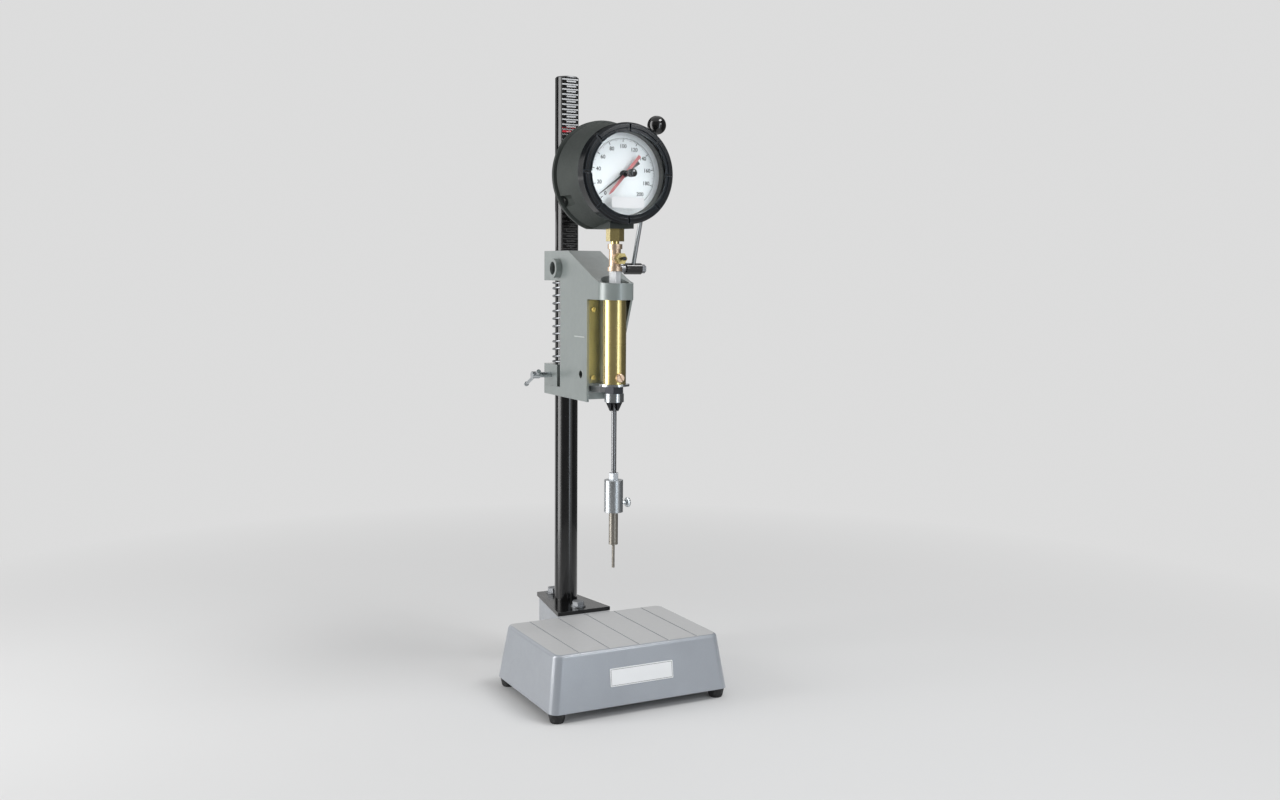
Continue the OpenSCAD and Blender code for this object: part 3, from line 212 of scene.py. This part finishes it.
def sprayed_paint(name, color, hollow_shade, top=None):
    """Machine enamel: metal fleck, orange peel, edge wear, painted shade in hollows, and, if a top tone
    is given, rubbed paint with painted top light on faces that look up.
    """
    coat = 0.9
    rubbed_coat = 0.1
    rubbed_and_lit_top_cover = 0.9
    rubbed_haze = 0.2
    look = Look(name, Metallic=0.15, Coat_Weight=coat, Coat_Roughness=0.2)
    gloss = look.patches(scale=120, low=0.34, high=0.46)
    tone = look.blend(look.patches(scale=14), scaled(color, 0.94), scaled(color, 1.04))
    fleck = look.patches(scale=3200, high=0.4, start=0.55, full=0.75, detail=1.0)
    tone = look.blend(fleck, tone, scaled(color, 1.45))
    if top:
        # painted top light mixed with rubbed paint: faces that look straight up take the paler top tone,
        # with less coat and more haze
        rubbed = look.level()
        tone = look.blend(look.times(rubbed, rubbed_and_lit_top_cover), tone, top)
        gloss = look.plus(gloss, look.times(rubbed, rubbed_haze))
        look.put("Coat Weight", look.span(rubbed, start=0.0, full=1.0, low=coat, high=rubbed_coat))
    tone = look.blend(look.wear(radius=0.8 * MM, amount=0.45), tone, RUBBED_PAINT)
    # painted shade: hollows darken towards a dark grey by ambient occlusion
    look.color(look.blend(look.hollows(reach=18 * MM, amount=hollow_shade), tone, HOLLOW_SHADE))
    look.roughness(gloss)
    look.relief(look.noise(scale=520, detail=2.0), depth=0.05 * MM, edge=0.7 * MM)
    return look.material


def red_band(look):
    """Share of a chipped red paint mark on the front of the rack."""
    at = look.parts(look.place)
    above = look.span(at["Z"], start=MARK_BOTTOM, full=MARK_BOTTOM + MARK_FADE)
    below = look.span(at["Z"], start=MARK_TOP, full=MARK_TOP - MARK_FADE)
    ahead = look.span(at["Y"], start=MARK_BACK, full=MARK_BACK - MARK_FADE)
    chipped = look.patches(scale=260, start=0.44, full=0.52, detail=4.0)
    return look.times(look.times(above, below), look.times(ahead, chipped))


def gloss_black(name, coat, rubbed, marked=False):
    """Black gloss enamel, rubbed on its edges, with the red band where it is marked."""
    look = Look(name, Coat_Weight=coat, Coat_Roughness=0.05, Specular_IOR_Level=0.35)
    upright = look.vector("MULTIPLY", look.place, (6, 6, 0.5))
    streak = look.patches(scale=24, start=0.35, full=0.7, detail=4.0, place=upright)
    tone = look.blend(streak, JET_BLACK, WORN_BLACK)
    if marked:
        tone = look.blend(red_band(look), tone, MARK_RED)
    look.color(look.blend(look.wear(radius=0.7 * MM, amount=rubbed), tone, BARE_STEEL))
    look.roughness(look.patches(scale=40, low=0.14, high=0.24))
    look.relief(look.noise(scale=60, detail=2.0), depth=0.01 * MM)
    return look.material


def turned_metal(name, color, grain, rough=(0.14, 0.26), dull=0.86, lacquer=0.0):
    """Metal with fine lathe lines, which run across the axis that grain marks, and faint smears."""
    look = Look(name, Metallic=1.0, Coat_Weight=lacquer, Coat_Roughness=0.12)
    smear = look.patches(scale=30, start=0.35, full=0.7, detail=4.0)
    look.color(look.blend(smear, scaled(color, dull), color))
    look.roughness(look.patches(14, *rough, detail=1.0))
    lines = look.noise(scale=1.0, detail=2.0, place=look.vector("MULTIPLY", look.place, grain))
    look.relief(lines, depth=0.0008 * MM, edge=0.35 * MM)
    return look.material


def black_rubber(name):
    """Moulded rubber, grey with dust in its pores."""
    look = Look(name)
    dust = look.patches(scale=220, start=0.5, full=0.75, detail=4.0)
    look.color(look.blend(dust, srgb(30, 30, 31), srgb(62, 62, 62)))
    look.roughness(look.patches(scale=90, low=0.55, high=0.8))
    look.relief(look.noise(scale=900), depth=0.06 * MM)
    return look.material


def moulded_plastic(name, dark, pale, worn_and_lit_edge, rough, shine=0.25, edge=0.6 * MM, grain=0.05 * MM):
    """Moulded plastic with a fine even grain, paler edges for rubbing and a painted highlight, and
    painted shade in hollows.
    """
    look = Look(name, Specular_IOR_Level=shine)
    tone = look.blend(look.patches(scale=22), dark, pale)
    # paler edges: rubbed wear, and a painted highlight where the edge tone is far paler than the body, as
    # on the bezel
    edge_wear_and_sheen = look.times(look.edges(edge), 0.5)
    tone = look.blend(edge_wear_and_sheen, tone, worn_and_lit_edge)
    # painted shade: ambient occlusion darkens the hollows nearly to black
    look.color(look.blend(look.hollows(reach=5 * MM, amount=0.9), tone, scaled(dark, 0.3)))
    look.roughness(look.patches(300, *rough))
    look.relief(look.noise(scale=1500, detail=2.0), depth=grain, edge=0.6 * MM)
    return look.material


def polished_ball(name):
    """Polished black phenolic with faint handling marks."""
    look = Look(name, Coat_Weight=0.3, Coat_Roughness=0.03)
    look.color(look.blend(look.patches(scale=60, start=0.4, full=0.7), JET_BLACK, WORN_BLACK))
    look.roughness(look.patches(scale=140, low=0.06, high=0.14, start=0.45, full=0.75, detail=4.0))
    look.relief(look.noise(scale=200), depth=0.003 * MM)
    return look.material


def enamel(name, color, rough=(0.3, 0.42), cloud=0.96, hub_color=None):
    """Thin stoved enamel on sheet metal, with a hub of its own colour round the dial's axis if given."""
    look = Look(name)
    tone = look.blend(look.patches(scale=26), scaled(color, cloud), color)
    if hub_color:
        hub_radius = 5 * MM
        fade = 0.2 * MM
        away = look.vector("SUBTRACT", look.place, (0, 0, DIAL_CENTRE.z))
        reach = look.length(look.vector("MULTIPLY", away, (1, 0, 1)))
        tone = look.blend(look.span(reach, hub_radius + fade, hub_radius - fade), tone, hub_color)
    look.color(tone)
    look.roughness(look.patches(200, *rough))
    look.relief(look.noise(scale=700, detail=2.0), depth=0.01 * MM, edge=0.15 * MM)
    return look.material


def clear_glass(name):
    """Window glass, faintly smeared, that lets lamps through."""
    look = Look(name, Transmission_Weight=1.0, IOR=1.46, Base_Color=(0.97, 0.985, 0.98, 1.0))
    look.roughness(look.patches(scale=35, high=0.05, start=0.5, full=0.8, detail=4.0))
    shadow = look.add("ShaderNodeLightPath").outputs["Is Shadow Ray"]
    look.surface(look.mixed(shadow, look.shader, look.add("ShaderNodeBsdfTransparent")))
    return look.material


# Lathe lines: how fine the grain is along X, Y and Z
ALONG_X = (2600.0, 12.0, 12.0)
ALONG_Z = (12.0, 12.0, 2600.0)
ALL_ROUND = (500.0, 500.0, 500.0)

# Colours that serve more than one look, or that wear, painted shade and the paint mark bring in
CHROME = srgb(206, 211, 214)
JET_BLACK = srgb(9, 9, 10)
WORN_BLACK = srgb(17, 17, 18)
PRINT_BLACK = srgb(28, 28, 30)
MARK_RED = srgb(196, 44, 58)
RUBBED_PAINT = srgb(205, 208, 206)
BARE_STEEL = srgb(150, 151, 152)
# painted shade in holes, pockets and grooves
HOLLOW_SHADE = srgb(38, 41, 40)

# The look of each material slot
looks = {
    # base paint: its top tone is rubbed paint with painted top light
    "base_paint": sprayed_paint("silver_paint", srgb(153, 158, 165), hollow_shade=0.1, top=srgb(190, 190, 190)),
    # head paint: strong painted shade in its hollows
    "head_paint": sprayed_paint("grey_paint", srgb(133, 141, 139), hollow_shade=0.9),
    "rubber": black_rubber("black_rubber"),
    "bright_steel": turned_metal("plated_steel", CHROME, ALONG_Z),
    "dark_steel": turned_metal("blackened_steel", srgb(58, 59, 62), ALONG_Z, rough=(0.26, 0.42)),
    "needle_steel": turned_metal("ground_steel", srgb(148, 143, 135), ALONG_Z, rough=(0.34, 0.46)),
    "label_metal": enamel("white_enamel", srgb(238, 239, 240)),
    "black_paint": gloss_black("black_enamel", coat=0.1, rubbed=0.6),
    "bronze": turned_metal("bearing_bronze", srgb(186, 142, 92), ALONG_Z, rough=(0.26, 0.4)),
    "brass": turned_metal("polished_brass", srgb(226, 207, 140), ALONG_Z, rough=(0.24, 0.29), dull=0.94,
                          lacquer=0.6),
    "copper": turned_metal("plain_copper", srgb(216, 168, 134), ALL_ROUND, rough=(0.24, 0.4)),
    "black_knob": polished_ball("black_phenolic"),
    "case_plastic": moulded_plastic("case_plastic", dark=srgb(49, 54, 52), pale=srgb(59, 64, 61),
                                    worn_and_lit_edge=srgb(78, 83, 79), rough=(0.42, 0.55)),
    # the bezel's pale blue-grey edge tone paints the highlights on its rims
    "bezel_plastic": moulded_plastic("bezel_plastic", dark=srgb(10, 13, 16), pale=srgb(16, 19, 23),
                                     worn_and_lit_edge=srgb(92, 104, 116), rough=(0.12, 0.18), shine=0.28,
                                     edge=1.3 * MM, grain=0.004 * MM),
    "lens_glass": clear_glass("window_glass"),
    "dial_white": enamel("dial_enamel", srgb(248, 251, 253)),
    "pointer_black": enamel("black_ink", PRINT_BLACK, rough=(0.4, 0.55), cloud=0.8),
    "pointer_red": enamel("red_enamel", srgb(190, 100, 102), rough=(0.34, 0.5), cloud=0.9,
                          hub_color=PRINT_BLACK),
}

# Looks of single pieces that differ from the rest of their slot
steel_along_x = turned_metal("plated_steel_across", CHROME, ALONG_X)
spring_steel = turned_metal("spring_steel", srgb(146, 148, 151), ALL_ROUND, rough=(0.3, 0.42))
satin_steel = turned_metal("satin_steel", srgb(186, 190, 193), ALONG_Z, rough=(0.3, 0.4))
dark_rod = turned_metal("ground_rod", srgb(138, 139, 141), ALONG_Z, rough=(0.34, 0.44))
bolt_zinc = turned_metal("bolt_zinc", srgb(150, 152, 155), ALL_ROUND, rough=(0.5, 0.62))
pale_mark = enamel("pale_mark", srgb(186, 191, 189))
own_looks = {
    "column": gloss_black("column_enamel", coat=0.7, rubbed=0.25, marked=True),
    "foot_plate_bolts": bolt_zinc,
    "foot_plate_washers": bolt_zinc,
    "clamp_screw": steel_along_x,
    "cylinder_block": turned_metal("cast_brass", srgb(164, 165, 144), ALONG_Z, rough=(0.34, 0.48),
                                   dull=0.88),
    "block_screws": turned_metal("screw_brass", srgb(214, 206, 168), ALL_ROUND, rough=(0.22, 0.34)),
    "bleed_plug": turned_metal("pale_bronze", srgb(228, 200, 174), ALL_ROUND, rough=(0.3, 0.42)),
    "pocket_bolt": turned_metal("bright_zinc", srgb(236, 239, 241), ALL_ROUND, rough=(0.3, 0.42)),
    "lock_ring": looks["bright_steel"],
    "port_nut": turned_metal("pale_zinc", srgb(240, 242, 244), ALL_ROUND, rough=(0.52, 0.62)),
    "tee": turned_metal("rosy_brass", srgb(220, 196, 170), ALL_ROUND, rough=(0.4, 0.5)),
    "tee_plug": turned_metal("plug_brass", srgb(186, 170, 116), ALL_ROUND, rough=(0.3, 0.42)),
    "pinion_shaft": dark_rod,
    "lever_hub": looks["black_knob"],
    "hub_end_screw": bolt_zinc,
    "lever_rod": satin_steel,
    "piston_rod": dark_rod,
    "jam_nut": turned_metal("zinc_plate", srgb(186, 189, 192), ALONG_Z, rough=(0.32, 0.48)),
    "chuck": satin_steel,
}


def dress_nodes():
    """Each carried-over node takes the look of its slot, or its own."""
    slots = {row["node"]: row["material_slot"] for row in record["subparts"]}
    for name, node in nodes.items():
        place = node.material_slots[0]
        place.link = "OBJECT"
        place.material = own_looks.get(name, looks[slots[name]])


# Pieces made here: each is closed, smooth by angle, and rides on its body

SMOOTH_BELOW = math.radians(35)


def add_object(name, form, material):
    """Turns a bmesh into an object of the scene with one material."""
    mesh = bpy.data.meshes.new(name)
    form.to_mesh(mesh)
    form.free()
    mesh.materials.append(material)
    obj = bpy.data.objects.new(name, mesh)
    bpy.context.scene.collection.objects.link(obj)
    return obj


def add_piece(name, form, slot, body, replaced=(), look=None):
    """Turns a bmesh into a piece that rides on a body and may stand for CAD nodes."""
    bmesh.ops.remove_doubles(form, verts=form.verts, dist=0.0005 * MM)
    bmesh.ops.recalc_face_normals(form, faces=form.faces)
    obj = add_object(name, form, look or looks[slot])
    obj.data.shade_smooth()
    obj.data.set_sharp_from_angle(angle=SMOOTH_BELOW)
    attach(obj, body)
    if replaced:
        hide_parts(*replaced)
    return obj


def skin(rings):
    """A closed form with faces between rings of points, and a cap on each end."""
    form = bmesh.new()
    loops = [[form.verts.new(point) for point in ring] for ring in rings]
    count = len(loops[0])
    for low, high in zip(loops, loops[1:]):
        for j in range(count):
            k = (j + 1) % count
            form.faces.new((low[j], low[k], high[k], high[j]))
    form.faces.new(loops[0][::-1])
    form.faces.new(loops[-1])
    return form


def tube(points, radius, sides):
    """A round wire along a path that never runs straight up."""
    rings = []
    last = len(points) - 1
    turns = [math.tau * j / sides for j in range(sides)]
    for i, point in enumerate(points):
        ahead = points[min(i + 1, last)] - points[max(i - 1, 0)]
        out = ahead.cross(Vector((0, 0, 1))).normalized()
        rise = out.cross(ahead).normalized()
        rings.append([point + radius * (math.cos(a) * out + math.sin(a) * rise) for a in turns])
    return skin(rings)


def make_spring():
    """The return spring, round the column, with its end curls nearly flat."""
    low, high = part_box("return_spring")
    length = high.z - low.z
    axis_y = (low.y + high.y) / 2
    wire = 3.4 * MM
    reach = 21.85 * MM
    end_rise = 4.3 * MM
    open_rise = length - wire - 2 * end_rise
    turns = 12
    steps = 28

    def rise(turn):
        if turn < 1:
            return turn * end_rise
        if turn > turns - 1:
            return end_rise + open_rise + (turn - turns + 1) * end_rise
        return end_rise + (turn - 1) * open_rise / (turns - 2)

    points = []
    for i in range(turns * steps + 1):
        a = math.tau * i / steps
        height = low.z + wire / 2 + rise(i / steps)
        points.append(Vector((reach * math.cos(a), axis_y + reach * math.sin(a), height)))
    form = tube(points, radius=wire / 2, sides=12)
    spring = add_piece("coil_spring", form, "bright_steel", "collar", ["return_spring"], spring_steel)
    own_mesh(spring)


KNURL_TEETH = 32
KNURL_DEPTH = 0.5 * MM
PLAIN = False
KNURLED = True


def knurled_turning(place, profile):
    """A turned solid along local Z: rows of radius, height, and whether it is knurled there."""
    sides = 6 * KNURL_TEETH
    rings = []
    for radius, height, knurled in profile:
        ring = []
        for j in range(sides):
            a = math.tau * j / sides
            cut = KNURL_DEPTH * (0.5 + 0.5 * math.cos(KNURL_TEETH * a)) if knurled else 0.0
            reach = radius - cut
            ring.append(place @ Vector((reach * math.cos(a), reach * math.sin(a), height)))
        rings.append(ring)
    return skin(rings)


def make_thumbscrew():
    """The needle's thumbscrew along X, with a knurled head."""
    low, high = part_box("thumbscrew")
    middle = (low + high) / 2
    place = Matrix.Translation((0, middle.y, middle.z)) @ Matrix.Rotation(QUARTER_TURN, 4, "Y")
    thread = 2.45 * MM
    neck = 4.2 * MM
    grip = 7.5 * MM
    ease = 0.7 * MM
    head = high.x - 5 * MM
    form = knurled_turning(place, [
        (thread - 0.45 * MM, low.x, PLAIN),
        (thread, low.x + 0.5 * MM, PLAIN),
        (thread, head - 1.4 * MM, PLAIN),
        (neck, head - 1 * MM, PLAIN),
        (neck, head, PLAIN),
        (grip - ease, head, PLAIN),
        (grip, head + ease, KNURLED),
        (grip, high.x - ease, KNURLED),
        (grip - ease, high.x, PLAIN)])
    add_piece("knurled_thumbscrew", form, "bright_steel", "thumb", ["thumbscrew"], steel_along_x)


def make_reset_knob():
    """The red hand's knob along -Y, with a knurled grip in front of the window."""
    low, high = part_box("reset_knob")
    place = Matrix.Translation((0, 0, (low.z + high.z) / 2)) @ Matrix.Rotation(QUARTER_TURN, 4, "X")
    inner = -high.y
    outer = -low.y
    knob = outer - 14 * MM
    shaft = 2 * MM
    boss = 4 * MM
    grip = 6 * MM
    ease = 0.8 * MM
    form = knurled_turning(place, [
        (shaft - 0.4 * MM, inner, PLAIN),
        (shaft, inner + 0.4 * MM, PLAIN),
        (shaft, knob - 4 * MM, PLAIN),
        (boss, knob - 4 * MM, PLAIN),
        (boss, knob, PLAIN),
        (grip - ease, knob, PLAIN),
        (grip, knob + ease, KNURLED),
        (grip, outer - 1.2 * MM, KNURLED),
        (grip - 1 * MM, outer - 0.3 * MM, PLAIN),
        (grip - 2.2 * MM, outer, PLAIN)])
    add_piece("knurled_reset_knob", form, "black_knob", "peak_hand", ["reset_knob"])


def rounded_outline(width, height, radius, steps=6):
    """Corner-rounded rectangle round the origin, as (x, y) points."""
    points = []
    for quarter in range(4):
        x = (width / 2 - radius) * (1 if quarter in (0, 3) else -1)
        y = (height / 2 - radius) * (1 if quarter < 2 else -1)
        for i in range(steps + 1):
            a = QUARTER_TURN * (quarter + i / steps)
            points.append((x + radius * math.cos(a), y + radius * math.sin(a)))
    return points


def plate(place, width, height, radius, thick, ease):
    """A thin plate with round corners and an eased front edge, from local z 0 up to its thickness."""
    rings = []
    for inset, level in ((0, 0), (0, thick - ease), (ease, thick)):
        outline = rounded_outline(width - 2 * inset, height - 2 * inset, radius - inset)
        rings.append([place @ Vector((x, y, level)) for x, y in outline])
    return skin(rings)


def band(form, rows):
    """Faces between neighbours of four rows of points, the last with the first."""
    for first, second in zip(rows, rows[1:] + rows[:1]):
        for i in range(len(first) - 1):
            form.faces.new((first[i], first[i + 1], second[i + 1], second[i]))


def frame_line(place, width, height, radius, line, thick):
    """A thin raised line round a rectangle with rounded corners."""
    outer = rounded_outline(width, height, radius)
    inner = rounded_outline(width - 2 * line, height - 2 * line, radius - line)
    form = bmesh.new()
    rows = []
    for outline, level in ((outer, 0), (outer, thick), (inner, thick), (inner, 0)):
        row = [form.verts.new(place @ Vector((x, y, level))) for x, y in outline]
        rows.append(row + row[:1])
    band(form, rows)
    return form


def make_label():
    """The bare front plate, on the slope of the base, with a plain printed border."""
    solid = nodes["label_plate"].data
    face = min(solid.polygons, key=lambda polygon: polygon.normal.y)
    normal = face.normal.copy()
    across = Vector((1, 0, 0))
    upward = normal.cross(across)
    corners = [vertex.co for vertex in solid.vertices]
    middle = sum(corners, Vector()) / len(corners)
    depths = [(corner - middle).dot(normal) for corner in corners]
    heights = [(corner - middle).dot(upward) for corner in corners]
    back = middle + min(depths) * normal
    place = Matrix((across, upward, normal)).transposed().to_4x4()
    place.translation = back
    low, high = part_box("label_plate")
    width = high.x - low.x
    height = max(heights) - min(heights)
    thick = max(depths) - min(depths)
    label = plate(place, width, height, radius=1.6 * MM, thick=thick, ease=0.2 * MM)
    add_piece("front_label", label, "label_metal", "base", ["label_plate"])
    place.translation = back + thick * normal
    margin = 1.5 * MM
    border = frame_line(place, width - 2 * margin, height - 2 * margin, radius=1.2 * MM, line=0.5 * MM,
                        thick=0.04 * MM)
    add_piece("label_border", border, "pointer_black", "base")


SCALE_START = math.radians(-135)
SCALE_TURN = math.radians(270)
SCALE_TOP = 200
SCALE_RADIUS = 53 * MM
NUMBER_STEP = 20
INK = 0.06 * MM
INK_MIDDLE = Vector((0, -INK / 2, 0))


def on_dial(value, radius):
    """Place on the dial's scale, with local Z pointing outwards along the radius."""
    angle = SCALE_START + SCALE_TURN * value / SCALE_TOP
    turn = Matrix.Rotation(angle, 4, "Y")
    return Matrix.Translation(DIAL_CENTRE) @ turn @ Matrix.Translation((0, 0, radius))


def tick_size(value):
    """Length and width of the printed line at a value."""
    if value % NUMBER_STEP == 0:
        return 5.5 * MM, 1.1 * MM
    if value % (NUMBER_STEP // 2) == 0:
        return 3.8 * MM, 0.5 * MM
    return 2.4 * MM, 0.5 * MM


def add_tick(form, value):
    """One printed line of the scale."""
    length, width = tick_size(value)
    size = Matrix.Diagonal((width, INK, length, 1))
    place = on_dial(value, SCALE_RADIUS - length / 2) @ Matrix.Translation(INK_MIDDLE) @ size
    bmesh.ops.create_cube(form, size=1, matrix=place)


def add_number(form, value, radius, height):
    """An upright printed number, centred on its place in the scale."""
    curve = bpy.data.curves.new("number", "FONT")
    curve.body = str(value)
    curve.size = height
    curve.align_x = "CENTER"
    curve.align_y = "CENTER"
    curve.extrude = INK / 2
    curve.offset = height / 40  # a little bolder than the plain font
    obj = bpy.data.objects.new("number", curve)
    bpy.context.scene.collection.objects.link(obj)
    mesh = bpy.data.meshes.new_from_object(obj.evaluated_get(bpy.context.evaluated_depsgraph_get()))
    spot = on_dial(value, radius).translation + INK_MIDDLE
    mesh.transform(Matrix.Translation(spot) @ Matrix.Rotation(QUARTER_TURN, 4, "X"))
    form.from_mesh(mesh)
    bpy.data.objects.remove(obj)
    bpy.data.meshes.remove(mesh)


def add_scale_line(form, width):
    """The thin line that the scale's ticks hang from."""
    steps = 180
    inner = SCALE_RADIUS - width / 2
    outer = SCALE_RADIUS + width / 2
    rows = []
    for reach, depth in ((inner, 0), (outer, 0), (outer, -INK), (inner, -INK)):
        spots = [on_dial(SCALE_TOP * i / steps, reach).translation for i in range(steps + 1)]
        rows.append([form.verts.new(spot + Vector((0, depth, 0))) for spot in spots])
    band(form, rows)
    for end in (0, steps):
        form.faces.new([row[end] for row in rows])


def make_dial_print():
    """Scale line, ticks and plain numbers on the dial."""
    form = bmesh.new()
    add_scale_line(form, width=0.4 * MM)
    for value in range(0, SCALE_TOP + 1, 2):
        add_tick(form, value)
    for value in range(0, SCALE_TOP + 1, NUMBER_STEP):
        add_number(form, value, radius=41 * MM, height=7.8 * MM)
    add_piece("dial_scale", form, "pointer_black", "head")


def make_window_sticker():
    """A bare sticker low on the front of the window."""
    glass_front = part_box("lens")[0].y
    spot = Vector((0, glass_front, DIAL_CENTRE.z - 43 * MM))
    place = Matrix.Translation(spot) @ Matrix.Rotation(QUARTER_TURN, 4, "X")
    sticker = plate(place, width=54 * MM, height=16 * MM, radius=1 * MM, thick=0.15 * MM, ease=0.05 * MM)
    add_piece("window_sticker", sticker, "label_metal", "head")


def make_side_mark():
    """The pale line on the left side of the head."""
    head_side = -28.5 * MM
    spot = Vector((head_side, -4 * MM, 555.5 * MM))
    facing_left = Matrix.Rotation(-QUARTER_TURN, 4, "Y") @ Matrix.Rotation(QUARTER_TURN, 4, "Z")
    mark = plate(Matrix.Translation(spot) @ facing_left, width=37 * MM, height=1.6 * MM, radius=0.7 * MM,
                 thick=0.12 * MM, ease=0.05 * MM)
    add_piece("side_mark", mark, "label_metal", "head", look=pale_mark)


# Stage: floor, world, lamps, cards and camera

BACKGROUND = grey(0.72)
FILL = grey(0.56)
LAMP_TARGET = Vector((0, 0, 0.5))


def around(azimuth, distance, height):
    """A place round the object's axis, at an azimuth in degrees from the front towards +X."""
    turn = math.radians(azimuth)
    return Vector((distance * math.sin(turn), -distance * math.cos(turn), height))


def seen_directly(tree):
    """1 for rays that show the background: from the camera, in metal and through glass."""
    path = tree.nodes.new("ShaderNodeLightPath")
    total = path.outputs["Is Camera Ray"]
    for name in ("Is Glossy Ray", "Is Transmission Ray"):
        both = tree.nodes.new("ShaderNodeMath")
        both.operation = "MAXIMUM"
        tree.links.new(total, both.inputs[0])
        tree.links.new(path.outputs[name], both.inputs[1])
        total = both.outputs[0]
    return total


def make_floor():
    """A pale floor that keeps the shadow and fades into the background further out, also in metal."""
    look = Look("pale_floor", Roughness=0.9, Specular_IOR_Level=0.0)
    look.color(look.blend(look.noise(scale=3), grey(0.7), grey(0.72)))
    far = look.span(look.length(look.place), start=0.45, full=1.6)
    glow = look.add("ShaderNodeEmission", {"Color": BACKGROUND})
    faded = look.mixed(look.times(far, seen_directly(look.tree)), look.shader, glow)
    mirrored = look.times(far, look.add("ShaderNodeLightPath").outputs["Is Glossy Ray"])
    look.surface(look.mixed(mirrored, faded, look.add("ShaderNodeBsdfTransparent")))
    form = bmesh.new()
    bmesh.ops.create_grid(form, x_segments=1, y_segments=1, size=40)
    add_object("floor", form, look.material)


def make_world():
    """A plain fill, with the pale background where it is seen directly."""
    world = bpy.data.worlds.new("studio")
    world.use_nodes = True
    tree = world.node_tree
    seen = tree.nodes["Background"]
    seen.inputs["Color"].default_value = BACKGROUND
    plain = tree.nodes.new("ShaderNodeBackground")
    plain.inputs["Color"].default_value = FILL
    mixed = tree.nodes.new("ShaderNodeMixShader")
    tree.links.new(seen_directly(tree), mixed.inputs[0])
    tree.links.new(plain.outputs[0], mixed.inputs[1])
    tree.links.new(seen.outputs[0], mixed.inputs[2])
    tree.links.new(mixed.outputs[0], tree.nodes["World Output"].inputs["Surface"])
    bpy.context.scene.world = world


def soft_lamp(name, place, width, height, radiance, tint=(1, 1, 1), upright=True):
    """A rectangular lamp that faces the object, upright, or tilted towards the lamps' target."""
    data = bpy.data.lights.new(name, "AREA")
    data.shape = "RECTANGLE"
    data.size = width
    data.size_y = height
    data.energy = radiance * math.pi * width * height
    data.color = tint
    lamp = bpy.data.objects.new(name, data)
    lamp.location = place
    ahead = LAMP_TARGET - lamp.location
    if upright:
        ahead.z = 0
    lamp.rotation_euler = ahead.to_track_quat("-Z", "Y").to_euler()
    lamp.visible_camera = False
    bpy.context.scene.collection.objects.link(lamp)


def make_lamps():
    """A tall panel on the left, a tall and a small high one at the front right, and a wide one above."""
    soft_lamp("left_panel", around(azimuth=-101, distance=1.7, height=0.3), width=0.55, height=2.4,
              radiance=6.0)
    soft_lamp("right_panel", around(azimuth=12, distance=2.0, height=0.3), width=0.4, height=2.4,
              radiance=2.7, tint=(0.8, 0.9, 1.0))
    soft_lamp("high_panel", around(azimuth=26, distance=1.9, height=1.27), width=0.32, height=0.34,
              radiance=12.5, tint=(0.94, 0.97, 1.0))
    soft_lamp("top_panel", around(azimuth=42, distance=1.0, height=2.1), width=0.9, height=0.45,
              radiance=11.5, upright=False)


def card(name, start, end, tone, low=-1.2, high=1.9):
    """A curved card between two azimuths, dark or bright, which only shows in metal, glass and gloss."""
    distance = 1.15
    steps = 24
    form = bmesh.new()
    rows = []
    for i in range(steps + 1):
        azimuth = start + (end - start) * i / steps
        rows.append([form.verts.new(around(azimuth, distance, level)) for level in (low, high)])
    for first, second in zip(rows, rows[1:]):
        form.faces.new((first[0], second[0], second[1], first[1]))
    look = Look(name)
    look.surface(look.add("ShaderNodeEmission", {"Color": grey(tone)}))
    sheet = add_object(name, form, look.material)
    sheet.visible_camera = False
    sheet.visible_diffuse = False
    sheet.visible_shadow = False
    sheet.visible_transmission = False


def make_cards():
    """Dark cards in front, right and behind, a bright one left, and a strip at the socket's height."""
    card("front_card", start=-74, end=3, tone=0.19)
    card("right_card", start=40, end=138, tone=0.11)
    card("rear_card", start=150, end=204, tone=0.04, low=0.8)
    card("left_card", start=-120, end=-90, tone=4.8)
    card("edge_card", start=-147, end=-121, tone=0.03)
    card("socket_card", start=-162, end=-148, tone=1.8, low=0.715, high=0.775)


def make_camera():
    """The photograph's viewpoint, fitted to the object's own sizes."""
    yaw = 0.47979
    pitch = 0.100208
    roll = -0.007887
    forward = Vector((math.sin(yaw) * math.cos(pitch), math.cos(yaw) * math.cos(pitch), -math.sin(pitch)))
    right = Vector((math.cos(yaw), -math.sin(yaw), 0))
    above = right.cross(forward)
    across = right * math.cos(roll) - above * math.sin(roll)
    upward = right * math.sin(roll) + above * math.cos(roll)
    data = bpy.data.cameras.new("photo_camera")
    data.sensor_fit = "HORIZONTAL"
    data.sensor_width = 36
    data.lens = 36.53
    camera = bpy.data.objects.new("photo_camera", data)
    camera.matrix_world = Matrix((across, upward, -forward)).transposed().to_4x4()
    camera.location = (-0.8826, -1.85346, 0.66104)
    bpy.context.scene.collection.objects.link(camera)
    bpy.context.scene.camera = camera


dress_nodes()
make_spring()
make_thumbscrew()
make_reset_knob()
make_label()
make_dial_print()
make_window_sticker()
make_side_mark()
make_floor()
make_world()
make_lamps()
make_cards()
make_camera()
bpy.context.scene.view_settings.view_transform = "Standard"
